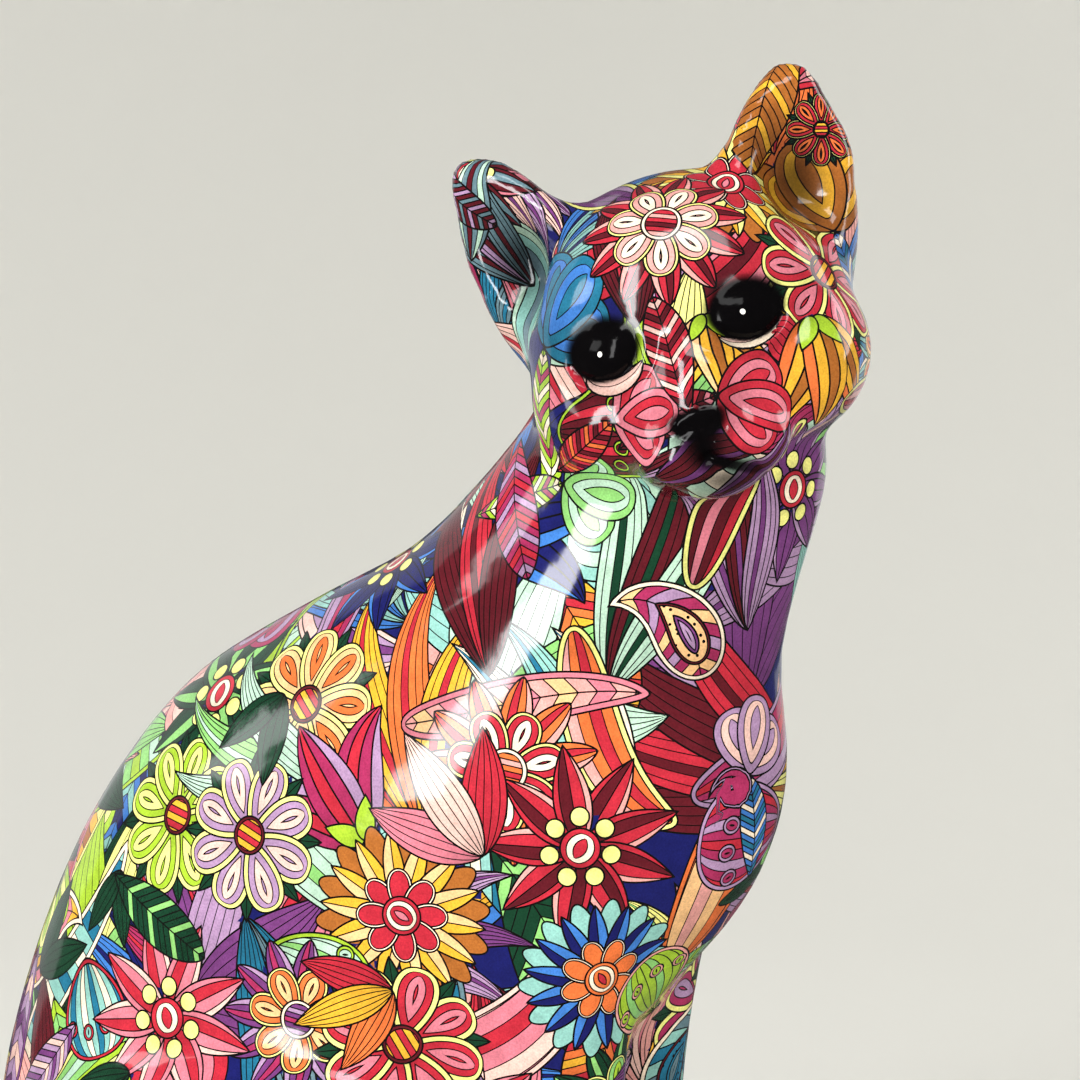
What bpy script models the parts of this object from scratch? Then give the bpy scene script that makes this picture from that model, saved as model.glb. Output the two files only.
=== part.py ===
"""A sitting cat cast in papier-mache, as one closed solid.

Modelled in millimetres in the cat's own frame: +Z up from the table, the body facing -Y,
its right side at -X. The finished mesh is in metres, with its origin on the table under
the middle of the cat. The head is a unit of its own, turned and tilted on the neck.
"""

import math

import bmesh
import bpy
import numpy as np
from mathutils import Matrix, Vector

MM = 0.001

# Pose of the head
HEAD_CENTRE = (-5.0, -91.0, 299.0)  # inside the skull, level with the eyes
HEAD_TURN = 70.0  # degrees from straight ahead, towards the cat's right
HEAD_TILT = 16.5  # degrees, the left ear raised
HEAD_LIFT = 7.0  # degrees, chin up

# Making of the skin
VOXEL = 2.4  # grid on which the modelled lumps are fused
BODY_FILLET = 30  # smoothing passes that turn the body's joints into soft fillets
HEAD_FILLET = 8  # the head keeps crisper joints
NECK_FILLET = 8  # passes once the head is on
SKIN_TRIANGLES = 9000
TABLE = 1.0  # height at which the underside is ground flat

RING_SIDES = 40  # points round a lofted limb
BALL_SIDES = 32
BETWEEN_ROWS = 4  # rings made for each row of the tables below

# Torso, from the seat up to the nape. Rows: back line y, z, front line y, z, half width
TORSO = (
    (80.0, -4.0, -56.0, -4.0, 40.0),
    (93.0, 40.0, -60.0, 34.0, 44.0),
    (95.0, 88.0, -60.0, 84.0, 46.0),
    (87.0, 130.0, -64.0, 120.0, 46.0),
    (68.0, 176.0, -81.0, 146.0, 44.0),
    (40.0, 213.0, -103.0, 174.0, 42.0),
    (8.0, 234.0, -111.5, 200.0, 38.0),
    (-22.0, 250.0, -109.0, 226.0, 34.0),
    (-41.0, 268.0, -114.0, 248.0, 31.0),
    (-54.0, 284.0, -120.0, 270.0, 29.0),
    (-62.0, 300.0, -116.0, 290.0, 26.0),
)

# Foreleg, from the shoulder to the wrist. Rows: x, y, z, half width, half depth
FORELEG = (
    (23.0, -62.0, 196.0, 16.0, 30.0),
    (22.0, -60.0, 168.0, 17.0, 27.0),
    (19.0, -61.0, 138.0, 15.5, 21.0),
    (17.0, -64.0, 104.0, 13.5, 16.0),
    (16.0, -67.0, 70.0, 12.5, 13.5),
    (16.0, -69.0, 36.0, 12.5, 12.5),
    (16.5, -71.0, 8.0, 13.5, 13.5),
)

# Thigh, from the rump to the knee. Rows: x, y, z, half width, half height
THIGH = (
    (27.0, 90.0, 58.0, 10.0, 22.0),
    (32.0, 78.0, 60.0, 19.0, 43.0),
    (37.0, 54.0, 63.0, 25.0, 58.0),
    (40.0, 26.0, 67.0, 27.5, 66.0),
    (41.5, -4.0, 75.0, 26.5, 63.0),
    (41.5, -28.0, 86.0, 22.0, 50.0),
    (40.5, -43.0, 94.0, 15.0, 31.0),
    (40.0, -50.0, 98.0, 6.0, 12.0),
)

# Tail, from the rump round the right side to its tip. Rows: x, y, z, radius
TAIL = (
    (6.0, 76.0, 22.0, 13.0),
    (-18.0, 88.0, 13.0, 12.0),
    (-46.0, 80.0, 11.0, 11.0),
    (-65.0, 54.0, 10.5, 10.5),
    (-71.0, 18.0, 10.0, 10.0),
    (-70.0, -18.0, 9.5, 9.5),
    (-62.0, -50.0, 9.0, 9.0),
    (-46.0, -74.0, 8.5, 8.5),
    (-28.0, -90.0, 8.5, 8.0),
)

# Paws: centre of the middle toe, and how the outer toes stand from it
FORE_TOE = (16.5, -87.5, 8.0)
HIND_TOE = (46.0, -55.0, 8.0)
TOE_RADII = (5.8, 13.0, 8.6)
TOE_PITCH = 8.5
TOE_STEP_BACK = 2.8

# Lumps of the head in its own frame: +X its left, -Y out of the face, origin level with
# the eyes. Rows: centre, radii, lean in degrees. A row off the middle is mirrored.
SKULL = (
    ((0.0, 4.0, 5.0), (36.5, 36.0, 32.5), 0.0),
    ((0.0, -11.0, 12.0), (26.0, 19.0, 21.0), 0.0),
    ((18.5, -3.0, -8.0), (19.5, 23.0, 19.5), 0.0),
    ((18.5, -13.5, -13.0), (16.0, 15.0, 14.0), 0.0),
    ((0.0, -18.0, -13.0), (21.0, 17.0, 18.0), 0.0),
    ((0.0, -27.5, -9.0), (10.0, 9.5, 15.0), -24.0),
    ((7.5, -27.5, -25.0), (10.0, 11.0, 8.0), 0.0),
    ((0.0, -26.5, -30.5), (10.0, 9.0, 6.0), 0.0),
)

# Ear, from its root to its tip. Rows: x, y, z, half breadth, half thickness
EAR = (
    (20.0, 3.0, 8.0, 20.0, 12.0),
    (25.5, 3.0, 18.0, 20.0, 11.5),
    (30.5, 3.0, 29.0, 17.0, 9.5),
    (34.3, 3.0, 39.5, 13.0, 7.0),
    (36.8, 3.0, 47.0, 8.0, 5.0),
)
EAR_FACING = 42.0  # degrees that the ear's hollow looks out to its side
EAR_LEAN = 0.45  # drop of the ear's outer edge below its inner edge, per unit of breadth
EAR_TIP_ROUNDING = 0.85

# Places pressed into the head by thumb. Centre, half width and half height, and depth
EAR_HOLLOW = ((31.0, -3.0, 28.0), (11.5, 19.0), 9.0)
EYE_SOCKET = ((15.4, -30.0, -0.5), (12.0, 10.5), 3.0)
EYEBALL = ((15.2, -30.0, -0.5), (8.0, 7.0), -4.5)
EYE_SPLAY = 0.25  # how far an eye looks out to its side
PRESS_REACH = 16.0


def blend_rows(rows, steps=BETWEEN_ROWS):
    """Rows of numbers run through a Catmull-Rom curve, with so many steps from row to row."""
    table = np.array(rows, float)
    padded = np.vstack([2 * table[0] - table[1], table, 2 * table[-1] - table[-2]])
    smooth = []
    for before, start, end, after in zip(padded, padded[1:], padded[2:], padded[3:]):
        for step in range(steps):
            t = step / steps
            linear = (end - before) * t
            square = (2 * before - 5 * start + 4 * end - after) * t**2
            cube = (3 * start - before - 3 * end + after) * t**3
            smooth.append((2 * start + linear + square + cube) / 2)
    smooth.append(table[-1])
    return smooth


def ellipse(centre, side, depth, half_side, half_depth):
    """A matrix that carries the unit circle to an ellipse along two directions."""
    side = Vector(side).normalized()
    depth = Vector(depth).normalized()
    normal = side.cross(depth)
    turn = Matrix((side * half_side, depth * half_depth, normal)).transposed().to_4x4()
    return Matrix.Translation(centre) @ turn


def loft(bm, rings, sides=RING_SIDES):
    """A closed skin through ellipses, given as matrices of the unit circle."""
    loops = []
    for index, ring in enumerate(rings):
        is_end = index in (0, len(rings) - 1)
        circle = bmesh.ops.create_circle(
            bm, cap_ends=is_end, segments=sides, radius=1.0, matrix=ring
        )
        loops.append(circle["verts"])
    for lower, upper in zip(loops, loops[1:]):
        edges = set()
        for loop in (lower, upper):
            for vert in loop:
                for edge in vert.link_edges:
                    if edge.other_vert(vert) in loop and len(edge.link_faces) < 2:
                        edges.add(edge)
        bmesh.ops.bridge_loops(bm, edges=list(edges))


def ball(bm, centre, radii, lean=0.0):
    """An ellipsoid, leaned about its own X axis."""
    place = Matrix.Translation(centre) @ Matrix.Rotation(math.radians(lean), 4, "X")
    bmesh.ops.create_uvsphere(
        bm,
        u_segments=BALL_SIDES,
        v_segments=BALL_SIDES // 2,
        radius=1.0,
        matrix=place @ Matrix.Diagonal((*radii, 1.0)),
    )


def add_torso(bm):
    rings = []
    for back_y, back_z, front_y, front_z, half in blend_rows(TORSO):
        back = Vector((0.0, back_y, back_z))
        front = Vector((0.0, front_y, front_z))
        across = back - front
        rings.append(ellipse((back + front) / 2, (1, 0, 0), across, half, across.length / 2))
    loft(bm, rings)


def add_toes(bm, middle, side):
    x, y, z = middle
    for toe in (-1, 0, 1):
        back = TOE_STEP_BACK * abs(toe)
        ball(bm, (side * x + toe * TOE_PITCH, y + back, z), TOE_RADII)


def add_foreleg(bm, side):
    rings = [
        ellipse((side * x, y, z), (1, 0, 0), (0, 1, 0), half, depth)
        for x, y, z, half, depth in blend_rows(FORELEG)
    ]
    loft(bm, rings)
    ball(bm, (side * 16.5, -76.0, 9.0), (13.5, 17.0, 10.0))
    add_toes(bm, FORE_TOE, side)


def add_hind_leg(bm, side):
    rings = [
        ellipse((side * x, y, z), (1, 0, 0), (0, 0, 1), half, height)
        for x, y, z, half, height in blend_rows(THIGH)
    ]
    loft(bm, rings)
    ball(bm, (side * 30.0, 46.0, 12.0), (34.0, 44.0, 15.0))
    ball(bm, (side * 45.0, -14.0, 13.0), (15.0, 44.0, 14.0))
    add_toes(bm, HIND_TOE, side)


def add_tail(bm):
    rows = [Vector(row) for row in blend_rows(TAIL)]
    rings = []
    for index, (x, y, z, radius) in enumerate(rows):
        ahead = rows[min(index + 1, len(rows) - 1)].xyz
        behind = rows[max(index - 1, 0)].xyz
        course = ahead - behind
        side = course.cross((0, 0, 1))
        rings.append(ellipse((x, y, z), side, side.cross(course), radius, radius))
    loft(bm, rings)
    *tip, radius = TAIL[-1]
    ball(bm, tip, (radius, radius, radius))


def body_lumps():
    bm = bmesh.new()
    add_torso(bm)
    for side in (-1, 1):
        add_foreleg(bm, side)
        add_hind_leg(bm, side)
    add_tail(bm)
    return bm


def head_place():
    turn = Matrix.Rotation(math.radians(-HEAD_TURN), 4, "Z")
    tilt = Matrix.Rotation(math.radians(-HEAD_TILT), 4, "Y")
    lift = Matrix.Rotation(math.radians(-HEAD_LIFT), 4, "X")
    return Matrix.Translation(HEAD_CENTRE) @ turn @ tilt @ lift


def ear_directions(side):
    """Across the ear, and out of its hollow."""
    out = math.radians(EAR_FACING)
    across = Vector((side * math.cos(out), math.sin(out), -EAR_LEAN))
    facing = Vector((side * math.sin(out), -math.cos(out), 0.0))
    return across, facing


def add_ear(bm, side):
    across, facing = ear_directions(side)
    rings = [
        ellipse((side * x, y, z), across, facing, half, thick)
        for x, y, z, half, thick in blend_rows(EAR)
    ]
    loft(bm, rings)
    x, y, z, half, thick = EAR[-1]
    round_tip = half * EAR_TIP_ROUNDING
    ball(bm, (side * x, y, z), (round_tip, thick, round_tip))


def head_lumps():
    bm = bmesh.new()
    for (x, y, z), radii, lean in SKULL:
        for side in (-1, 1) if x else (1,):
            ball(bm, (side * x, y, z), radii, lean)
    for side in (-1, 1):
        add_ear(bm, side)
    bmesh.ops.transform(bm, matrix=head_place(), verts=bm.verts)
    return bm


def through_modifiers(bm, *settings):
    """The mesh after some modifiers, each given as its type and a dictionary of values."""
    mesh = bpy.data.meshes.new("shape")
    bm.to_mesh(mesh)
    bm.free()
    holder = bpy.data.objects.new("shape", mesh)
    bpy.context.scene.collection.objects.link(holder)
    for kind, values in settings:
        modifier = holder.modifiers.new(kind.lower(), kind)
        for name, value in values.items():
            setattr(modifier, name, value)
    bpy.context.view_layer.update()
    graph = bpy.context.evaluated_depsgraph_get()
    result = bmesh.new()
    result.from_object(holder, graph)
    bpy.data.objects.remove(holder, do_unlink=True)
    bpy.data.meshes.remove(mesh)
    return result


def fused(lumps, passes):
    """One closed skin over overlapping lumps, the joints between them smoothed into fillets."""
    bmesh.ops.recalc_face_normals(lumps, faces=lumps.faces)
    return through_modifiers(
        lumps,
        ("REMESH", {"mode": "VOXEL", "voxel_size": VOXEL}),
        ("SMOOTH", {"factor": 0.5, "iterations": passes}),
    )


def with_added(bm, other):
    """The first mesh with the second's faces in it too."""
    carried = bpy.data.meshes.new("carried")
    other.to_mesh(carried)
    other.free()
    bm.from_mesh(carried)
    bpy.data.meshes.remove(carried)
    return bm


def press(bm, centre, inward, upright, radii, depth):
    """Moves the skin along a direction, inside an ellipse that fades to nothing at its rim."""
    place = head_place()
    middle = place @ Vector(centre)
    turn = place.to_3x3()
    inward = (turn @ Vector(inward)).normalized()
    upright = turn @ Vector(upright)
    upright = (upright - inward * upright.dot(inward)).normalized()
    wide = upright.cross(inward)
    for vert in bm.verts:
        offset = vert.co - middle
        reach = math.hypot(offset.dot(wide) / radii[0], offset.dot(upright) / radii[1])
        is_outer_side = vert.normal.dot(inward) < -0.15
        if is_outer_side and reach < 1.0 and abs(offset.dot(inward)) < PRESS_REACH:
            vert.co += inward * depth * (1.0 - reach**2) ** 1.5


def press_ears_and_eyes(bm):
    for side in (-1, 1):
        (x, y, z), radii, depth = EAR_HOLLOW
        facing = ear_directions(side)[1]
        press(bm, (side * x, y, z), -facing, (side * 0.35, 0.0, 1.0), radii, depth)
        for (x, y, z), radii, depth in (EYE_SOCKET, EYEBALL):
            look = (-side * EYE_SPLAY, 1.0, 0.0)
            press(bm, (side * x, y, z), look, (0.0, 0.0, 1.0), radii, depth)


def thinned(bm):
    triangles = sum(len(face.verts) - 2 for face in bm.faces)
    return through_modifiers(bm, ("DECIMATE", {"ratio": SKIN_TRIANGLES / triangles}))


def grind_underside(bm):
    """Cuts the underside flat at the table's height and closes it."""
    cut = bmesh.ops.bisect_plane(
        bm,
        geom=bm.verts[:] + bm.edges[:] + bm.faces[:],
        plane_co=(0.0, 0.0, TABLE),
        plane_no=(0.0, 0.0, -1.0),
        clear_outer=True,
    )
    rim = [item for item in cut["geom_cut"] if isinstance(item, bmesh.types.BMEdge)]
    bmesh.ops.holes_fill(bm, edges=rim)


def stand_on_origin(bm):
    """Puts the origin under the middle of the cat, and turns millimetres into metres."""
    corners = np.array([vert.co[:] for vert in bm.verts])
    middle = (corners.min(axis=0) + corners.max(axis=0)) / 2
    shift = Matrix.Translation((-middle[0], -middle[1], -TABLE))
    bmesh.ops.transform(bm, matrix=Matrix.Scale(MM, 4) @ shift, verts=bm.verts)


def lacquered_print():
    material = bpy.data.materials.new("lacquered_print")
    material.use_nodes = True
    shader = material.node_tree.nodes["Principled BSDF"]
    shader.inputs["Base Color"].default_value = (0.45, 0.12, 0.12, 1.0)
    shader.inputs["Roughness"].default_value = 0.12
    shader.inputs["Metallic"].default_value = 0.0
    return material


def make_cat():
    body = fused(body_lumps(), BODY_FILLET)
    head = fused(head_lumps(), HEAD_FILLET)
    skin = fused(with_added(body, head), NECK_FILLET)
    skin.normal_update()
    press_ears_and_eyes(skin)
    skin = thinned(skin)
    grind_underside(skin)
    stand_on_origin(skin)
    mesh = bpy.data.meshes.new("cat")
    skin.to_mesh(mesh)
    skin.free()
    mesh.shade_smooth()
    mesh.materials.append(lacquered_print())
    cat = bpy.data.objects.new("cat", mesh)
    bpy.context.scene.collection.objects.link(cat)


for thing in list(bpy.data.objects):
    bpy.data.objects.remove(thing, do_unlink=True)
make_cat()
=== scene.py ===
"""A sitting papier-mache cat under printed paper and clear lacquer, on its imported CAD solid.

Tables and the print are worked in millimetres; the finished mesh is in metres. The cat's
frame: +Z up from the table, its body facing -Y, its right side at -X, the head turned to -X.
"""

import math

import bmesh
import bpy
import numpy as np
from mathutils import Matrix, Vector
from mathutils.bvhtree import BVHTree
from mathutils.geometry import barycentric_transform


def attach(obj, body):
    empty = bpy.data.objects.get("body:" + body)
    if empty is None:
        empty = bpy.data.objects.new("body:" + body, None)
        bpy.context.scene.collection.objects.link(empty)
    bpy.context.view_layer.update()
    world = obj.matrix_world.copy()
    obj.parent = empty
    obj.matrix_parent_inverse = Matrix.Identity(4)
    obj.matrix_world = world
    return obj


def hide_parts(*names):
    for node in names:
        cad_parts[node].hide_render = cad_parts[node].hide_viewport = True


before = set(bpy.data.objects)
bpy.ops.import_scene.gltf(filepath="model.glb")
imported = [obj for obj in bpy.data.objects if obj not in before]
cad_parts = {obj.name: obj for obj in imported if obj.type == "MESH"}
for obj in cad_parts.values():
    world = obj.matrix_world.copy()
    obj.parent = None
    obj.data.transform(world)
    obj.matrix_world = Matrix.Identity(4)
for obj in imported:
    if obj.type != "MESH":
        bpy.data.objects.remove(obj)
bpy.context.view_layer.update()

MM = 0.001
SEED = 7

# ---------------------------------------------------------------- colours of the print
INKS = {
    "black": "#0C0909",
    "pale yellow": "#F2EE8C",
    "golden": "#E9AE34",
    "orange": "#E4723A",
    "ochre": "#A9642A",
    "crimson": "#BC2A3A",
    "rose": "#D87B8A",
    "pink": "#E8A39C",
    "shell": "#F0C4B8",
    "maroon": "#5C1620",
    "magenta": "#A62E5B",
    "purple": "#733B77",
    "lilac": "#AD8BB0",
    "navy": "#171A5C",
    "sky": "#3F79C6",
    "teal": "#23708F",
    "aqua": "#8DC2B8",
    "mint": "#B8D8C1",
    "leaf": "#8CC972",
    "lime": "#A4C734",
    "forest": "#123B26",
    "cream": "#FAE6CE",
    "slate": "#64808A",
    "peach": "#F7C38A",
}


def linear(name):
    """A named ink, or an sRGB hex value, as linear red, green and blue."""
    code = INKS.get(name, name).lstrip("#")
    parts = np.array([int(code[i : i + 2], 16) for i in (0, 2, 4)]) / 255
    return tuple(np.where(parts <= 0.04045, parts / 12.92, ((parts + 0.055) / 1.055) ** 2.4))


# ---------------------------------------------------------------- the casting's own frame
ROW_SHIFT = Vector((5.84, 16.0, -1.0))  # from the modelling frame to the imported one
HEAD_CENTRE = Vector((-5.0, -91.0, 299.0)) + ROW_SHIFT
HEAD_TURN, HEAD_TILT, HEAD_LIFT = 70.0, 16.5, 7.0
FINE_GRID = 1.8  # mm between points of the finished skin
FACET_PASSES = 20  # pairs of smoothing passes that take the facets out


def head_place():
    turn = Matrix.Rotation(math.radians(-HEAD_TURN), 4, "Z")
    tilt = Matrix.Rotation(math.radians(-HEAD_TILT), 4, "Y")
    lift = Matrix.Rotation(math.radians(-HEAD_LIFT), 4, "X")
    return Matrix.Translation(HEAD_CENTRE) @ turn @ tilt @ lift


def through_modifiers(bm, *settings):
    """The mesh after some modifiers, each given as its type and a dictionary of values."""
    mesh = bpy.data.meshes.new("shape")
    bm.to_mesh(mesh)
    bm.free()
    holder = bpy.data.objects.new("shape", mesh)
    bpy.context.scene.collection.objects.link(holder)
    for kind, values in settings:
        modifier = holder.modifiers.new(kind.lower(), kind)
        for name, value in values.items():
            setattr(modifier, name, value)
    bpy.context.view_layer.update()
    result = bmesh.new()
    result.from_object(holder, bpy.context.evaluated_depsgraph_get())
    bpy.data.objects.remove(holder, do_unlink=True)
    bpy.data.meshes.remove(mesh)
    return result


def casting():
    """The CAD solid's skin in millimetres, on a finer grid and without its facets."""
    bm = bmesh.new()
    bm.from_mesh(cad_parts["cat"].data)
    bmesh.ops.remove_doubles(bm, verts=bm.verts, dist=1e-6)
    bmesh.ops.transform(bm, matrix=Matrix.Scale(1 / MM, 4), verts=bm.verts)
    ease = ("SMOOTH", {"factor": 0.5, "iterations": 1})
    firm = ("SMOOTH", {"factor": -0.53, "iterations": 1})
    return through_modifiers(
        bm,
        ("REMESH", {"mode": "VOXEL", "voxel_size": FINE_GRID}),
        *([ease, firm] * FACET_PASSES),
    )


FACE_MID = -1.4  # mm, the moulded face sits a little to the cat's right of the head's middle
EYE = (15.5, 0.6)  # across from the face's middle, and up
EYE_HALF = (6.7, 5.7)
EYE_LIGHT = 0.6  # mm, radius of the painted highlight, a white dot on each eye
LIGHT_SHIFT = 0.7  # mm, how far the dots sit towards the cat's right
FRONT = -16  # mm, the face lies before this in the head
UPPER_EYE = (  # share of the way out from the eye's middle, and height over the face
    (0.0, 2.7), (0.25, 2.62), (0.5, 2.3), (0.75, 1.7), (0.95, 1.1), (1.15, 0.7), (1.4, 0.4),
    (1.7, 0.12), (2.0, 0.0),
)
LOWER_EYE = (
    (0.0, 2.7), (0.25, 2.6), (0.5, 2.2), (0.75, 1.3), (0.9, 0.3), (1.02, -0.5), (1.12, -0.3),
    (1.22, 0.7), (1.34, 1.25), (1.5, 0.9), (1.7, 0.3), (2.0, 0.0),
)
NOSE = (0.0, -19.6)
NOSTRIL = (3.1, -20.6)
NOSTRIL_HALF = (2.0, 1.3)
FURROW = (-27.2, -22.6)  # from the nose down to the mouth
WHISKER_PAD = (5.8, -25.6)
CHIN = -33.0
NOSE_LIFT, PAD_LIFT, CHIN_LIFT = 1.0, 0.9, 0.5  # mm over the casting
NOSTRIL_DEPTH, FURROW_DEPTH, MOUTH_DEPTH = 1.2, 0.8, 1.7
MOUTH_SHARES = np.linspace(0, 1, 60)
MOUTH = np.stack(
    [0.25 + 8.6 * MOUTH_SHARES, -26.8 - 5.6 * MOUTH_SHARES + 1.2 * MOUTH_SHARES**3], axis=1
)
EAR_ROOT, EAR_TIP = (28.0, 14.0), (42.0, 52.0)  # across and up in the head
EAR_HOLLOWS = ((-1, (29.0, 23.0)), (1, (31.0, 25.0)))


def eased(share):
    """0 to 1 with a soft start and end."""
    share = np.clip(share, 0, 1)
    return share * share * (3 - 2 * share)


def bump(distance, radius):
    return np.exp(-((distance / radius) ** 2))


def in_head(bm):
    """The mesh's points and directions in the head's own frame, the points as a new array."""
    inside = np.array(head_place().inverted())
    spots = np.array([vert.co[:] for vert in bm.verts]) @ inside[:3, :3].T + inside[:3, 3]
    outward = np.array([vert.normal[:] for vert in bm.verts]) @ inside[:3, :3].T
    return spots, outward


def mesh_in_head(mesh):
    """A finished mesh's points, in metres and in the head's own frame in millimetres."""
    inside = np.array(head_place().inverted())
    spots = np.empty(len(mesh.vertices) * 3)
    mesh.vertices.foreach_get("co", spots)
    spots = spots.reshape(-1, 3)
    return spots, spots / MM @ inside[:3, :3].T + inside[:3, 3]


def put_back(bm, spots):
    back = np.array(head_place())
    for vert, co in zip(bm.verts, spots @ back[:3, :3].T + back[:3, 3]):
        vert.co = co


def picked(bm, mask):
    return [vert for vert, chosen in zip(bm.verts, mask) if chosen]


def soften(bm, chosen, passes, factor=0.5):
    for _ in range(passes):
        bmesh.ops.smooth_vert(
            bm, verts=chosen, factor=factor, use_axis_x=True, use_axis_y=True, use_axis_z=True
        )


def finer(bm, chosen):
    """Halves the grid where every corner of an edge is chosen."""
    edges = [edge for edge in bm.edges if edge.verts[0] in chosen and edge.verts[1] in chosen]
    made = bmesh.ops.subdivide_edges(bm, edges=edges, cuts=1, use_grid_fill=True)
    bmesh.ops.triangulate(bm, faces=bm.faces)
    soften(bm, [item for item in made["geom_inner"] if isinstance(item, bmesh.types.BMVert)], 2)


def round_ears(bm):
    """Takes the last facets off the ears, and gives back the thickness that costs them."""
    x, _, z = in_head(bm)[0].T
    soften(bm, picked(bm, (np.abs(x) > 20) & (z > 22)), 7)
    bm.normal_update()
    spots, outward = in_head(bm)
    x, _, z = spots.T
    full = eased((np.abs(x) - 20) / 6) * eased((z - 22) / 8)
    put_back(bm, spots + outward * (0.5 + 1.0 * eased((z - 40) / 12))[:, None] * full[:, None])


def refine_face(bm):
    """Halves the grid over the face and the ears, and again at eyes and muzzle."""
    round_ears(bm)
    x, y, z = in_head(bm)[0].T
    ears = (np.abs(x) > 16) & (np.abs(x) < 58) & (z > 8) & (y < 14)
    face = ears | ((y < -14) & (np.abs(x) < 33) & (z > -42) & (z < 16))
    finer(bm, set(picked(bm, face)))
    x, y, z = in_head(bm)[0].T
    near = (eye_reach(x, z) < 1.9) | ((np.abs(x) < 13) & (z > -38) & (z < -13))
    finer(bm, set(picked(bm, near & (y < -18))))


def eye_reach(x, z):
    """How far out a place is from the nearer eye's middle, 1 on the eye's edge."""
    across = np.abs(x - FACE_MID) - EYE[0]
    return np.hypot(across / EYE_HALF[0], (z - EYE[1]) / EYE_HALF[1])


def nose_reach(x, z):
    """Less than 1 on the nose leather, a soft triangle with its point down."""
    up = (z - NOSE[1]) / 3.2
    wide = 6.0 - 2.0 * np.clip(0.5 - up / 2, 0, 1) ** 1.3
    return (np.abs((x - FACE_MID) / wide) ** 2.4 + np.abs(up) ** 2.4) ** (1 / 2.4)


def from_mouth(x, z):
    """Distance from the mouth's line and along it, and from the furrow above it."""
    across = x - FACE_MID
    gaps = np.hypot(np.abs(across)[:, None] - MOUTH[:, 0], z[:, None] - MOUTH[:, 1])
    furrow = np.hypot(across, np.maximum(np.maximum(z - FURROW[1], FURROW[0] - z), 0))
    return gaps.min(axis=1), MOUTH_SHARES[gaps.argmin(axis=1)], furrow


def carve_face(bm):
    """Presses eyes, lids, nose, mouth and the folds of the ears into the casting."""
    bm.normal_update()
    spots, outward = in_head(bm)
    x, y, z = spots.T
    front = (y < FRONT) & (outward[:, 1] < -0.05)
    reach = eye_reach(x, z)
    up = z - EYE[1]
    for side in (-1, 1):
        here = front & ((x - FACE_MID) * side > 0) & (reach < 2.4)
        ring = here & (reach > 1.7)
        across = x - FACE_MID - side * EYE[0]
        terms = np.stack([np.ones_like(x), across, up, across**2, across * up, up**2], axis=1)
        fitted = np.linalg.lstsq(terms[ring], y[ring], rcond=None)[0]
        base = terms @ fitted
        hold = eased((2.1 - reach) / 0.6)
        low = eased(0.45 - 0.6 * up / EYE_HALF[1])
        height = (1 - low) * np.interp(reach, *zip(*UPPER_EYE))
        height += low * np.interp(reach, *zip(*LOWER_EYE))
        y[here] = (y + hold * (base - height - y))[here]
    nose = nose_reach(x, z)
    across = x - FACE_MID
    nostril = np.hypot(
        (np.abs(across) - NOSTRIL[0]) / NOSTRIL_HALF[0], (z - NOSTRIL[1]) / NOSTRIL_HALF[1]
    )
    away, share, furrow = from_mouth(x, z)
    depth = MOUTH_DEPTH * (1 - eased(share * 2) * (across < 0))
    lift = NOSE_LIFT * eased((1.18 - nose) / 0.4)
    lift -= NOSTRIL_DEPTH * bump(nostril, 1.0)
    lift -= FURROW_DEPTH * bump(furrow, 1.2) + depth * bump(away, 1.5)
    pad = np.hypot(np.abs(across) - WHISKER_PAD[0], z - WHISKER_PAD[1])
    lift += PAD_LIFT * bump(pad, 4.0)
    lift += CHIN_LIFT * bump(np.hypot(across, (z - CHIN) * 1.4), 3.6)
    muzzle = front & (z < -12) & (np.abs(x) < 18) & (y < -22)
    spots[muzzle] += outward[muzzle] * lift[muzzle, None]
    shape_ears(spots, outward)
    put_back(bm, spots)
    soften(bm, picked(bm, front & (reach < 2.3)), 3, 0.4)
    soften(bm, picked(bm, muzzle), 5)


def shape_ears(spots, outward):
    """Broadens the raised ear towards its tip, and deepens the hollow of both."""
    x, y, z = spots.T
    rise = (z - EAR_ROOT[1]) / (EAR_TIP[1] - EAR_ROOT[1])
    axis = EAR_ROOT[0] + (EAR_TIP[0] - EAR_ROOT[0]) * np.clip(rise, 0, 1)
    spread = np.clip(x - axis, -9, 9)
    hold = eased(rise * 1.5) * eased((x - 10) / 8) * eased((24 - y) / 8)
    tip = np.clip(rise, 0, 1.1)
    x += hold * (-0.6 + 0.2 * spread * (1 - 1.3 * tip**4) - 1.6 * tip**6)
    for side, middle in EAR_HOLLOWS:
        away = np.hypot((x * side - middle[0]) / 6.5, (z - middle[1]) / 9.0)
        inner = eased((x * side - 14) / 4) * eased((-outward[:, 1] - 0.05) / 0.25)
        y += 2.4 * bump(away, 1.0) * inner * (y < 10)


SPRAY_AND_SHADE_BUILD = 1.8  # thin black paint and painted shade are built up by this power, or they would hardly show


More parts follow.
